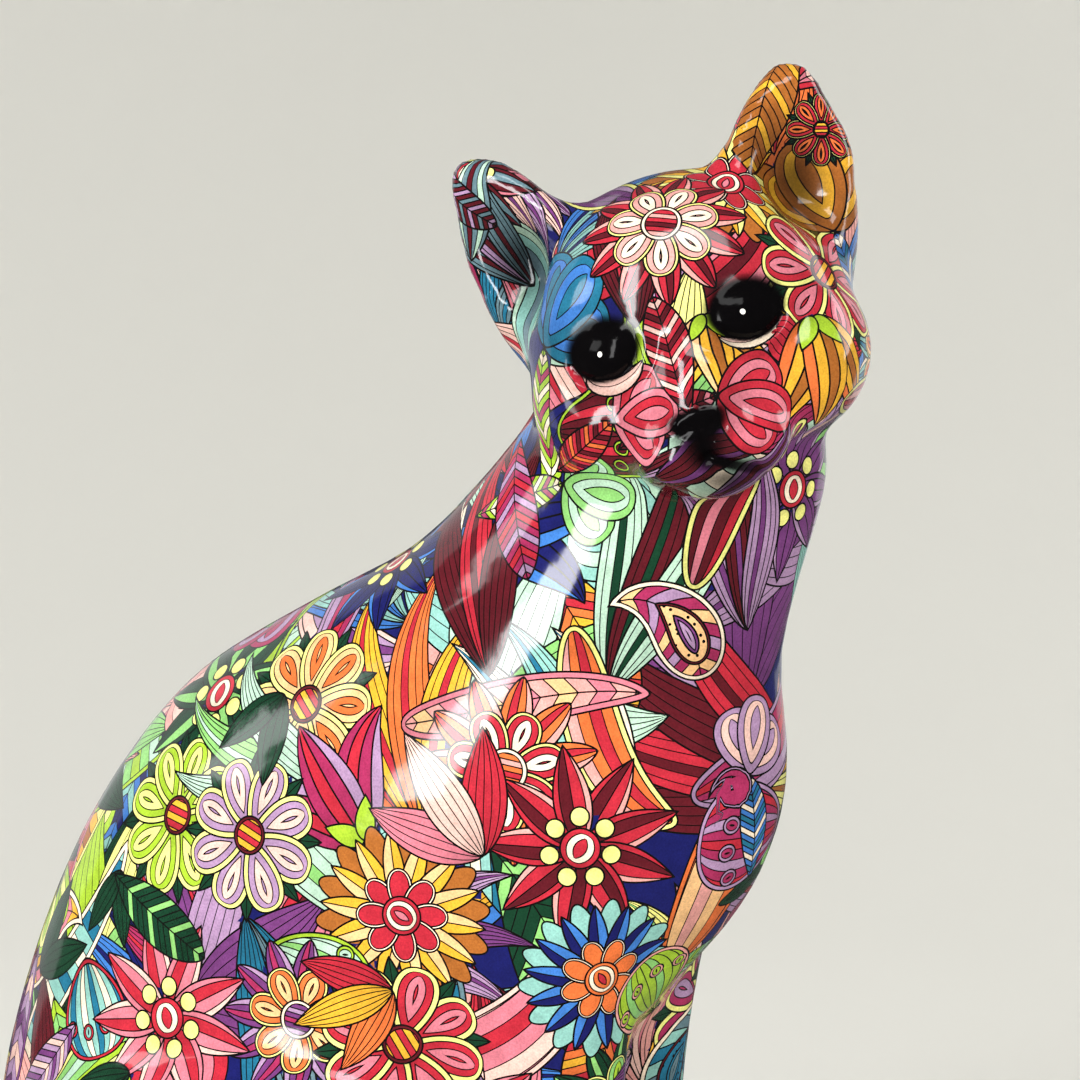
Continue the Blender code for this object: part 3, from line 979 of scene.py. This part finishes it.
UNDER_APART, STREWN_APART, WOVEN_APART = 15.5, 29.0, 32.0  # mm between roots
HEAD_HEIGHT = 275.0  # mm, shapes higher than this are drawn smaller
FACE_CLEAR = (52.0, 6.0)  # mm from the head's middle and forwards, kept free of woven leaves
FIGURES = ("rosette", "star", "drop", "fan", "sun", "bud", "blossom", "shells", "band", "plume")
BEADS = ("lime", "cream", "magenta")
WARM = ("crimson", "cream", "rose")
COOL = ("sky", "cream", "teal")
BODY_FIGURES = (  # height, degrees round, heading, figure, size, inks, others, hand
    # Dark inks at the throat: partly painted shade under the head
    (224, 50, 14, "stream", 21, ("mint", "maroon", "forest"), COOL, -1),
    (226, 92, -10, "stream", 20, ("maroon", "crimson", "maroon"), WARM, 1),
    (236, 16, -20, "stream", 16, ("lilac", "maroon", "purple"), WARM, -1),
    (196, 102, -70, "stream", 19, ("mint", "leaf", "mint"), COOL, 1),
    (168, 108, 150, "stream", 20, ("teal", "slate", "teal"), COOL, -1),
    (238, 74, 165, "plume", 20, ("orange", "pink", "crimson"), WARM, 1),
    (246, 40, 20, "plume", 18, ("maroon", "crimson", "rose"), COOL, -1),
    (226, 26, -10, "drop", 16, ("magenta", "lilac", "crimson"), ("peach", "lilac", "purple"), 1),
    (214, 110, 80, "band", 18, ("pink", "peach", "rose"), ("lime",) * 3, 1),
    (206, 64, 10, "rosette", 21, ("orange", "pink", "crimson"), WARM, 1),
    (204, 10, 15, "shells", 16, ("lilac", "shell", "purple"), COOL, 1),
    (190, 36, 30, "star", 20, ("crimson", "pink", "maroon"), BEADS, 1),
    (188, 88, -40, "bud", 21, ("magenta", "lilac", "crimson"), BEADS, 1),
    (172, 62, -60, "sun", 21, ("golden", "ochre", "peach"), WARM, 1),
    (186, 124, 200, "blossom", 18, ("lilac", "shell", "purple"), BEADS, 1),
    (160, 22, -35, "sun", 19, ("sky", "aqua", "navy"), ("orange", "cream", "crimson"), -1),
    (162, 94, 120, "fan", 19, ("mint", "leaf", "mint"), BEADS, 1),
    (146, 72, 10, "rosette", 19, ("purple", "lilac", "magenta"), ("orange", "peach", "golden"), 1),
    (142, 44, 60, "blossom", 19, ("crimson", "rose", "maroon"), BEADS, 1),
    (142, 112, -20, "star", 21, ("rose", "shell", "crimson"), BEADS, 1),
    (146, 2, -50, "fan", 18, ("lime", "leaf", "lime"), ("pink", "cream", "rose"), 1),
)
HEAD_FIGURES = (  # degrees to the cat's left of its face and upwards, then as above
    (52, 54, 20, "sun", 19, ("golden", "ochre", "pale yellow"), WARM, 1),
    (-6, 58, -75, "plume", 20, ("purple", "lilac", "purple"), BEADS, 1),
    (-62, 10, 35, "shells", 21, ("teal", "sky", "navy"), BEADS, 1),
    (-16, 6, -6, "stream", 13, ("maroon", "crimson", "maroon"), COOL, 1),
    (66, 8, 150, "blossom", 17, ("crimson", "rose", "maroon"), BEADS, 1),
    (4, 42, 5, "rosette", 19, ("crimson", "pink", "maroon"), ("pink", "cream", "crimson"), 1),
    (10, 4, 172, "bud", 14, ("golden", "peach", "ochre"), BEADS, 1),
    (-58, -18, 95, "fan", 17, ("maroon", "crimson", "maroon"), ("lime", "forest", "leaf"), 1),
    (50, -6, 170, "bud", 18, ("golden", "orange", "ochre"), BEADS, 1),
    (58, -34, 100, "plume", 16, ("crimson", "rose", "pink"), BEADS, -1),
    (-70, -32, 100, "shells", 16, ("leaf", "mint", "forest"), BEADS, 1),
    (-34, -42, 80, "stream", 10, ("maroon", "lilac", "maroon"), BEADS, -1),
    (-22, -38, 86, "leaf", 14, ("maroon", "purple", "maroon"), BEADS, -1),
    (-8, -48, 84, "leaf", 12, ("purple", "lilac", "maroon"), BEADS, -1),
    (6, -22, 100, "shells", 16, ("crimson", "rose", "maroon"), ("maroon", "rose", "crimson"), 1),
    (-34, -22, 78, "shells", 15, ("rose", "crimson", "shell"), ("crimson", "orange", "maroon"), 1),
    (-7, 16, 158, "feather", 12, ("crimson", "shell", "maroon"), COOL, 1),
)
EAR_FIGURES = (  # across, forward and up in the head, then as above
    ((40.0, 2.0, 30.0), 10, "stream", 15, ("maroon", "sky", "maroon"), COOL, -1),
    ((37.0, -3.0, 14.0), 0, "shells", 21, ("ochre", "golden", "maroon"), COOL, -1),
    ((36.0, -2.0, 50.0), -140, "bud", 13, ("orange", "peach", "crimson"), COOL, 1),
    ((24.0, -9.0, 30.0), 22, "feather", 17, ("ochre", "golden", "ochre"), COOL, 1),
    ((39.0, 2.0, 36.0), 0, "blossom", 8, ("crimson", "orange", "maroon"), COOL, 1),
    ((-30.0, 3.0, 20.0), -50, "stream", 13, ("slate", "lilac", "maroon"), COOL, 1),
    ((-45.0, 0.0, 30.0), 10, "leaf", 13, ("slate", "mint", "maroon"), COOL, 1),
    ((-34.0, 2.0, 36.0), -60, "feather", 10, ("maroon", "lilac", "slate"), COOL, 1),
)
LID_PRINT_AND_PAINTED_SHINE = (  # each eye, in degrees left and up on the head, and the pale inks below it: partly pale print, partly a painted highlight of the wet lower lid
    (-29, 1, ("shell", "pink", "shell")),
    (23, 1, ("cream", "pale yellow", "shell")),
)


def layout(art, dice):
    """The whole print: undergrowth, strewn figures, the large ones, and leaves woven over."""
    skin = art.skin
    areas = broad_areas(skin)
    undergrowth(art, areas, dice)
    large = [(on_body(skin, *row[:2]), *row[2:]) for row in BODY_FIGURES]
    large += [(on_head(skin, *row[:2]), *row[2:]) for row in HEAD_FIGURES]
    large += [(skin.touch(head_place() @ Vector(row[0]))[0], *row[1:]) for row in EAR_FIGURES]
    held = [(row[0], row[3] * 1.25) for row in large]
    for at in scattered(skin, STREWN_APART, dice, clear=held):
        inks, others = inks_at(areas, at, dice), inks_at(areas, at, dice)
        heading = clock(skin, at, float(dice.uniform(-180, 180)))
        size = float(dice.uniform(17.0, 22.0)) * (0.8 if at.z > HEAD_HEIGHT else 1.0)
        kind = FIGURES[dice.integers(len(FIGURES))]
        figure(art, kind, at, heading, size, inks, others, int(dice.choice((-1, 1))))
    for at, degrees, kind, size, inks, others, hand in large:
        figure(art, kind, at, clock(skin, at, degrees), size, inks, others, hand)
    # A pale crescent under each eye: partly pale print, partly a painted highlight where the wet
    # lower lid would shine
    for turn, rise, inks in LID_PRINT_AND_PAINTED_SHINE:
        at = on_head(skin, turn, rise)
        below = walk(skin, at, clock(skin, at, 226), 8.6)[-1][0]
        leaf(art, below, clock(skin, below, 140), 17.5, 4.6, inks, 1, (6.0, 6.0), 0.8, (0.6, 0.6))
    kept = [(row[0], row[3] * 0.62) for row in large]
    for at in scattered(skin, WOVEN_APART, dice, clear=kept):
        beside = head_place().inverted() @ at
        if beside.length < FACE_CLEAR[0] and beside.y < FACE_CLEAR[1]:
            continue
        inks = inks_at(areas, at, dice)
        heading = clock(skin, at, float(dice.uniform(-180, 180)))
        length = float(dice.uniform(22, 33)) * (0.8 if at.z > HEAD_HEIGHT else 1.0)
        kind = dice.integers(5)
        if kind == 0:
            leaf_spray(art, at, heading, length, inks, 3, 34.0, 0.7, 0.34)
        elif kind == 1:
            curl(art, at, heading, length * 0.5, int(dice.choice((-1, 1))), *inks[:2])
        elif kind == 2:
            feather(art, at, heading, length * 1.2, length * 0.42, inks)
        elif kind == 3:
            dark = ("forest", "forest", "leaf")
            leaf_spray(art, at, heading, length * 0.8, dark, 2, 46.0, 0.5, 0.36, 2)


# ---------------------------------------------------------------- materials
MIX_VECTORS = {"data_type": "VECTOR", "factor_mode": "UNIFORM"}
LINE_SHARE = 0.2  # widest share of a pattern's pitch that half a black line takes
FINE_LINE, RIM_LINE = 0.155, 0.17  # mm, half widths of the lines inside a shape
DOT, LEAST_DOTS, DOT_SCATTER = 0.36, 0.3, 0.55  # mm radius, mm least pitch, and disorder


def add(tree, kind, settings, sockets, out=0):
    """Adds a node with its settings and what goes into its sockets; gives one output."""
    node = tree.nodes.new("ShaderNode" + kind)
    for name, value in settings.items():
        setattr(node, name, value)
    for key, value in sockets.items():
        if isinstance(value, bpy.types.NodeSocket):
            tree.links.new(value, node.inputs[key])
        else:
            node.inputs[key].default_value = value
    return node.outputs[out]


def work_out(tree, known, rows):
    """Adds a row's sum to what is known: its name, its operation and what goes in."""
    for name, operation, *given in rows:
        sockets = {place: known.get(item, item) for place, item in enumerate(given)}
        known[name] = add(tree, "Math", {"operation": operation}, sockets)


def parts_of(tree, known, vector, names):
    """Adds a vector's three parts to what is known, by name."""
    outputs = add(tree, "SeparateXYZ", {}, {0: vector}).node.outputs
    known.update({name: outputs[place] for place, name in enumerate(names) if name})


OUTLINE_SUMS = (  # the sums of edge_distance again, where the print is looked at
    ("left", "SUBTRACT", 1.0, "inner"),
    ("rise", "POWER", "inner", "start"),
    ("fall", "POWER", "left", "end"),
    ("bulge", "MULTIPLY", "rise", "fall"),
    ("half", "MULTIPLY", "bulge", "swell"),
    ("opening", "DIVIDE", "start", "inner"),
    ("closing", "DIVIDE", "end", "left"),
    ("change", "SUBTRACT", "opening", "closing"),
    ("per_mm", "DIVIDE", "change", "length"),
    ("slope", "MULTIPLY", "per_mm", "half"),
    ("side", "ABSOLUTE", "across"),
    ("gap", "SUBTRACT", "half", "side"),
    ("steep", "MULTIPLY_ADD", "slope", "slope", 1.0),
    ("steepness", "SQRT", "steep"),
    ("straight", "DIVIDE", "gap", "steepness"),
    ("span", "ADD", "half", "side"),
    ("product", "MULTIPLY", "gap", "span"),
    ("lean", "MULTIPLY", "half", "slope"),
    ("lean_square", "MULTIPLY", "lean", "lean"),
    ("square", "MULTIPLY_ADD", "side", "side", "lean_square"),
    ("root", "SQRT", "square"),
    ("twice", "MULTIPLY_ADD", "root", 2.0, 0.0001),
    ("rounded", "DIVIDE", "product", "twice"),
    ("nearest", "MINIMUM", "straight", "rounded"),
    ("before", "MULTIPLY", "share", -1.0),
    ("after", "SUBTRACT", "share", 1.0),
    ("past", "MAXIMUM", "before", "after"),
    ("beyond", "MAXIMUM", "past", 0.0),
    ("beyond_mm", "MULTIPLY", "beyond", "length"),
    ("far", "MULTIPLY_ADD", "beyond_mm", -BEYOND_COST, "nearest"),
)


def outline_group():
    """How far inside its outline a printed shape is, its half width and its share of length."""
    tree = bpy.data.node_groups.new("outline of a printed shape", "ShaderNodeTree")
    face = tree.interface
    for name in ("Place", "Form", "Close"):
        face.new_socket(name=name, in_out="INPUT", socket_type="NodeSocketVector")
    face.new_socket(name="Reach", in_out="OUTPUT", socket_type="NodeSocketVector")
    given = tree.nodes.new("NodeGroupInput").outputs
    known = {}
    parts_of(tree, known, given["Place"], ("across", "along"))
    parts_of(tree, known, given["Form"], ("length", "swell", "start"))
    parts_of(tree, known, given["Close"], ("end",))
    work_out(tree, known, [("share", "DIVIDE", "along", "length")])
    known["inner"] = add(tree, "Clamp", {}, {0: known["share"], 1: 0.002, 2: 0.998})
    work_out(tree, known, OUTLINE_SUMS)
    reach = {place: known[name] for place, name in enumerate(("far", "half", "share"))}
    out = tree.nodes.new("NodeGroupOutput").inputs["Reach"]
    tree.links.new(add(tree, "CombineXYZ", {}, reach), out)
    return tree


def topmost(tree, group):
    """What is printed on top here: each table's value from the uppermost shape that covers it."""
    shown = {
        "reach": (9.0, 9.0, 0.5),
        "place": (0.0, 0.0, 0.0),
        "close": (1.0, 0.0, 1.0),
        "pattern": (0.0, 0.0, 0.0),
        "detail": (0.0, 0.0, 0.0),
        **{name: linear("navy") for name in ("edge", "ink_a", "ink_b", "ink_c")},
    }
    for level in reversed(range(LAYERS)):
        held = {
            name: add(tree, "Attribute", {"attribute_name": f"{name}_{level}"}, {}, out=1)
            for name in ("form", *shown)
            if name != "reach"
        }
        shape = tree.nodes.new("ShaderNodeGroup")
        shape.node_tree = group
        for name in ("Place", "Form", "Close"):
            tree.links.new(held[name.lower()], shape.inputs[name])
        held["reach"] = shape.outputs[0]
        inside = add(tree, "SeparateXYZ", {}, {0: held["reach"]})
        covers = add(tree, "Math", {"operation": "GREATER_THAN"}, {0: inside, 1: 0.0})
        for name, below in shown.items():
            shown[name] = add(
                tree, "Mix", MIX_VECTORS, {0: covers, 4: below, 5: held[name]}, out=1
            )
    return shown


PATTERN_SUMS = (  # lines per half width, per mm in from the edge, and per mm along
    ("half", "MAXIMUM", "half_width", 0.05),
    ("side", "ABSOLUTE", "across"),
    ("ribs_per_mm", "DIVIDE", "rib_count", "half"),
    ("ribs", "MULTIPLY", "ribs_per_mm", "across"),
    ("inward", "SUBTRACT", "reach", "rim"),
    ("with_rings", "MULTIPLY_ADD", "inward", "rings", "ribs"),
    ("leaned", "MULTIPLY_ADD", "side", "slant", "along"),
    ("phase", "MULTIPLY_ADD", "leaned", "bars", "with_rings"),
    ("lean_square", "MULTIPLY_ADD", "slant", "slant", 1.0),
    ("lean_root", "SQRT", "lean_square"),
    ("bars_per_mm", "MULTIPLY", "bars", "lean_root"),
    ("some", "ADD", "ribs_per_mm", "rings"),
    ("lines_per_mm", "ADD", "some", "bars_per_mm"),
    ("sure", "MAXIMUM", "lines_per_mm", 0.001),
    ("pitch", "DIVIDE", 1.0, "sure"),
    ("band", "FLOOR", "phase"),
    ("step", "SUBTRACT", "phase", "band"),
    ("rest", "SUBTRACT", 1.0, "step"),
    ("nearer", "MINIMUM", "step", "rest"),
    ("from_line", "MULTIPLY", "nearer", "pitch"),
    # Every second band has the second ink, and every fourth the third
    ("turn", "FLOORED_MODULO", "band", 4.0),
    ("pair", "FLOORED_MODULO", "band", 2.0),
    ("second", "GREATER_THAN", "pair", 0.5),
    ("third", "GREATER_THAN", "turn", 2.5),
    ("in_rim", "LESS_THAN", "inward", 0.0),
    ("not_rim", "SUBTRACT", 1.0, "in_rim"),
    # Black lines: the outline, the rim's inner line and the pattern's own lines
    ("thin", "MULTIPLY", "pitch", LINE_SHARE),
    ("own_weight", "MULTIPLY", "weight", FINE_LINE),
    ("line_half", "MINIMUM", "thin", "own_weight"),
    ("on_line", "LESS_THAN", "from_line", "line_half"),
    ("lined", "GREATER_THAN", "lines_per_mm", 0.01),
    ("past_rim", "MULTIPLY", "lined", "not_rim"),
    ("inner_line", "MULTIPLY", "on_line", "past_rim"),
    ("outline", "LESS_THAN", "reach", INK_LINE),
    ("from_rim", "ABSOLUTE", "inward"),
    ("has_rim", "GREATER_THAN", "rim", 0.1),
    ("rim_half", "MULTIPLY", "has_rim", RIM_LINE),
    ("rim_line", "LESS_THAN", "from_rim", "rim_half"),
    ("midrib", "LESS_THAN", "side", RIM_LINE),
    ("feather", "GREATER_THAN", "slant", 0.05),
    ("vein", "MULTIPLY", "midrib", "feather"),
    ("vein_in", "MULTIPLY", "vein", "past_rim"),
    # Dots, in the rim where their pitch is negative
    ("dot_pitch", "ABSOLUTE", "dots"),
    ("dot_size", "MAXIMUM", "dot_pitch", LEAST_DOTS),
    ("dots_across", "DIVIDE", "across", "dot_size"),
    ("dots_along", "DIVIDE", "along", "dot_size"),
)
BLACK_SUMS = (
    ("cell_mm", "MULTIPLY", "cell", "dot_size"),
    ("on_dot", "LESS_THAN", "cell_mm", DOT),
    ("wants_dots", "GREATER_THAN", "dot_pitch", LEAST_DOTS),
    ("rim_dots", "LESS_THAN", "dots", 0.0),
    ("wrong_side", "SUBTRACT", "in_rim", "rim_dots"),
    ("same_side", "COMPARE", "wrong_side", 0.0, 0.5),
    ("dotted", "MULTIPLY", "on_dot", "wants_dots"),
    ("dot", "MULTIPLY", "dotted", "same_side"),
    ("black_a", "MAXIMUM", "outline", "rim_line"),
    ("black_b", "MAXIMUM", "inner_line", "vein_in"),
    ("black_c", "MAXIMUM", "black_a", "black_b"),
    ("black", "MAXIMUM", "black_c", "dot"),
)


def inked_paper(tree, here):
    """The colour of the printed paper: inks, black lines and dots, and pencil grain."""
    top = topmost(tree, outline_group())
    known = {}
    for name, parts in (
        ("reach", ("reach", "half_width", "share")),
        ("place", ("across", "along")),
        ("close", (None, "rim", "weight")),
        ("pattern", ("rib_count", "rings", "bars")),
        ("detail", ("slant", "dots")),
    ):
        parts_of(tree, known, top[name], parts)
    work_out(tree, known, PATTERN_SUMS)
    spot = add(tree, "CombineXYZ", {}, {0: known["dots_across"], 1: known["dots_along"], 2: 0.0})
    known["cell"] = add(
        tree,
        "TexVoronoi",
        {"voronoi_dimensions": "2D", "feature": "F1"},
        {"Vector": spot, "Scale": 1.0, "Randomness": DOT_SCATTER},
    )
    work_out(tree, known, BLACK_SUMS)
    colour = top["ink_b"]
    for factor, below, above in (
        ("third", "ink_b", "ink_c"), ("second", "ink_a", None), ("in_rim", None, "edge"),
    ):
        under = colour if below is None else top[below]
        over = colour if above is None else top[above]
        colour = add(tree, "Mix", MIX_VECTORS, {0: known[factor], 4: under, 5: over}, out=1)

    # Pencil grain: 0.4 mm tooth and broader 3 mm strokes, and shapes darker at their root
    tooth = add(tree, "TexNoise", {}, {"Vector": here, "Scale": 2200.0, "Detail": 2.0})
    stroke = add(tree, "TexNoise", {}, {"Vector": here, "Scale": 260.0, "Detail": 3.0})
    for name, value, low, high, dark, light in (
        ("tooth_tone", tooth, 0.3, 0.7, 0.8, 1.12),
        ("stroke_tone", stroke, 0.3, 0.7, 0.84, 1.08),
        ("root_tone", known["share"], 0.0, 0.5, 0.66, 1.0),
    ):
        known[name] = add(tree, "MapRange", {}, {0: value, 1: low, 2: high, 3: dark, 4: light})
    work_out(
        tree,
        known,
        (
            ("grain", "MULTIPLY", "tooth_tone", "stroke_tone"),
            ("tone", "MULTIPLY", "grain", "root_tone"),
        ),
    )
    shaded = add(
        tree, "VectorMath", {"operation": "SCALE"}, {0: colour, "Scale": known["tone"]}
    )
    return add(
        tree, "Mix", MIX_VECTORS, {0: known["black"], 4: shaded, 5: linear("black")}, out=1
    )


def lacquered_print(lights):
    """Printed paper pasted over papier-mache under thick clear lacquer.

    Flat inks with black outlines and a slight pencil grain, and one clear gloss that
    mirrors the soft boxes with a slightly soft edge and breaks them up where the paper
    ripples. Round the eyes, nose and mouth black is sprayed on first, and dries duller;
    the same dull black is painted shade in the mouth's opening and, partly, in the ear
    hollows. A white dot on each eye is a painted highlight.
    """
    material = bpy.data.materials.new("lacquered_print")
    material.use_nodes = True
    tree = material.node_tree
    shader = tree.nodes["Principled BSDF"]
    here = add(tree, "TexCoord", {}, {}, out=3)
    # Black paint at the eyes, nose and mouth, with painted shade in the mouth's opening and the
    # ear hollows
    black_and_shade = add(tree, "Attribute", {"attribute_name": "spray_and_painted_shade"}, {}, out=2)
    colour = add(
        tree, "Mix", MIX_VECTORS, {0: black_and_shade, 4: inked_paper(tree, here), 5: linear("#060506")},
        out=1,
    )
    # Painted highlight: a small white dot on each eye
    for place in lights:
        away = add(tree, "VectorMath", {"operation": "DISTANCE"}, {0: here, 1: place}, out=1)
        on_light = add(tree, "Math", {"operation": "LESS_THAN"}, {0: away, 1: EYE_LIGHT * MM})
        colour = add(
            tree, "Mix", MIX_VECTORS, {0: on_light, 4: colour, 5: linear("#F6F3EC")}, out=1
        )
    ripple = add(tree, "TexNoise", {}, {"Vector": here, "Scale": 130.0, "Detail": 3.5})
    wavy = add(tree, "Bump", {}, {"Strength": 1.0, "Distance": 0.00006, "Height": ripple})
    satin = add(tree, "MapRange", {}, {0: black_and_shade, 1: 0.55, 2: 1.0, 3: 1.0, 4: 0.18})
    for value, socket in ((colour, "Base Color"), (wavy, "Coat Normal"), (satin, "Coat Weight")):
        tree.links.new(value, shader.inputs[socket])
    for socket, value in (
        ("Roughness", 0.45), ("Specular IOR Level", 0.0),
        ("Coat Roughness", 0.1), ("Coat IOR", 1.52),
    ):
        shader.inputs[socket].default_value = value
    return material


# ---------------------------------------------------------------- studio
def paper_backdrop():
    """Plain pale paper sweep, matt."""
    material = bpy.data.materials.new("backdrop_paper")
    material.use_nodes = True
    shader = material.node_tree.nodes["Principled BSDF"]
    shader.inputs["Base Color"].default_value = (*linear("#E4E3DD"), 1)
    shader.inputs["Roughness"].default_value = 0.9
    shader.inputs["Specular IOR Level"].default_value = 0.1
    return material


FLAT, SWEEP, WALL_TOP = 0.6, 1.8, 2.6  # metres: radius of the flat floor, of its sweep, height
SWEEP_STEPS = 24
FLOOR_BELOW = 0.0002  # metres between the cat's base and the paper


def backdrop():
    """A round paper floor that sweeps up into a wall on every side."""
    bm = bmesh.new()
    profile = [(0.0, 0.0), (FLAT, 0.0)]
    for step in range(1, SWEEP_STEPS + 1):
        turn = math.radians(90 * step / SWEEP_STEPS)
        profile.append((FLAT + SWEEP * math.sin(turn), SWEEP - SWEEP * math.cos(turn)))
    profile.append((FLAT + SWEEP, WALL_TOP))
    verts = [bm.verts.new((x, 0, z - FLOOR_BELOW)) for x, z in profile]
    edges = [bm.edges.new(pair) for pair in zip(verts, verts[1:])]
    bmesh.ops.spin(
        bm,
        geom=verts + edges,
        cent=(0, 0, 0),
        axis=(0, 0, 1),
        angle=math.tau,
        steps=96,
        use_merge=True,
    )
    bmesh.ops.remove_doubles(bm, verts=bm.verts, dist=1e-6)
    bmesh.ops.recalc_face_normals(bm, faces=bm.faces)
    bmesh.ops.reverse_faces(bm, faces=bm.faces)
    mesh = bpy.data.meshes.new("backdrop")
    bm.to_mesh(mesh)
    bm.free()
    mesh.shade_smooth()
    mesh.materials.append(paper_backdrop())
    floor = bpy.data.objects.new("backdrop", mesh)
    bpy.context.scene.collection.objects.link(floor)
    floor.visible_glossy = False


CHEST = Vector((0.0, -0.03, 0.22))  # what every lamp points at


def soft_box(name, round_cat, rise, away, size, watts, mirrored=True):
    """A soft box, placed in degrees round the cat from its front and above level.

    One that isn't mirrored lights the lacquer without showing in it.
    """
    light = bpy.data.lights.new(name, "AREA")
    light.shape = "RECTANGLE"
    light.size, light.size_y = size
    light.energy = watts
    turn, up = math.radians(round_cat), math.radians(rise)
    outward = Vector((math.sin(turn) * math.cos(up), -math.cos(turn) * math.cos(up), math.sin(up)))
    lamp = bpy.data.objects.new(name, light)
    lamp.location = CHEST + outward * away
    lamp.rotation_euler = outward.to_track_quat("Z", "Y").to_euler()
    lamp.visible_glossy = mirrored
    bpy.context.scene.collection.objects.link(lamp)


CAMERA_SIDE, CAMERA_RISE = -65.0, 8.0  # degrees round the cat, and above level
CAMERA_AIM = Vector((0.0152, -0.0319, 0.2495))
CAMERA_AWAY = 0.7
FIELD_WIDTH = 0.248  # metres across the picture at the aim
ROOM_LIGHT = 0.13  # strength of the pale room round the stage


def studio():
    """The camera, the room and its lamps."""
    scene = bpy.context.scene
    scene.view_settings.view_transform = "Standard"
    side, rise = math.radians(CAMERA_SIDE), math.radians(CAMERA_RISE)
    outward = Vector(
        (math.sin(side) * math.cos(rise), -math.cos(side) * math.cos(rise), math.sin(rise))
    )
    camera = bpy.data.objects.new("camera", bpy.data.cameras.new("camera"))
    camera.data.lens = camera.data.sensor_width * CAMERA_AWAY / FIELD_WIDTH
    camera.location = CAMERA_AIM + outward * CAMERA_AWAY
    camera.rotation_euler = outward.to_track_quat("Z", "Y").to_euler()
    scene.collection.objects.link(camera)
    scene.camera = camera
    world = bpy.data.worlds.new("studio")
    world.use_nodes = True
    room = world.node_tree.nodes["Background"]
    room.inputs["Color"].default_value = (*linear("#F3F3F1"), 1)
    room.inputs["Strength"].default_value = ROOM_LIGHT
    scene.world = world
    soft_box("tall window", -110, 17, 1.6, (0.26, 1.2), 15)
    soft_box("window fill", -104, 22, 1.7, (0.7, 1.1), 10, mirrored=False)
    soft_box("rear window", -152, 17, 1.6, (0.45, 0.4), 2.6)
    soft_box("right window", 45, 22, 1.7, (0.5, 0.9), 5)
    soft_box("overhead", -62, 62, 1.6, (1.2, 0.34), 8)
    soft_box("front fill", -25, 25, 1.8, (0.8, 0.8), 8, mirrored=False)
    soft_box("ceiling", 0, 88, 1.9, (1.6, 1.6), 3, mirrored=False)
    soft_box("wall light", -75, 38, 2.3, (0.8, 0.8), 8.5, mirrored=False)
    soft_box("left board", -207, 10, 1.9, (1.7, 1.5), 4.5)
    soft_box("right board", 88, 10, 1.9, (1.2, 1.5), 3)


backdrop()
studio()
cat = finished_skin()
skin = Skin(cat.data)
art = Print(skin)
dice = np.random.default_rng(SEED)
layout(art, dice)
store_print(cat.data, *art.settled())
cat.data.materials.append(lacquered_print(eye_lights(cat.data)))
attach(cat, "root")
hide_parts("cat")
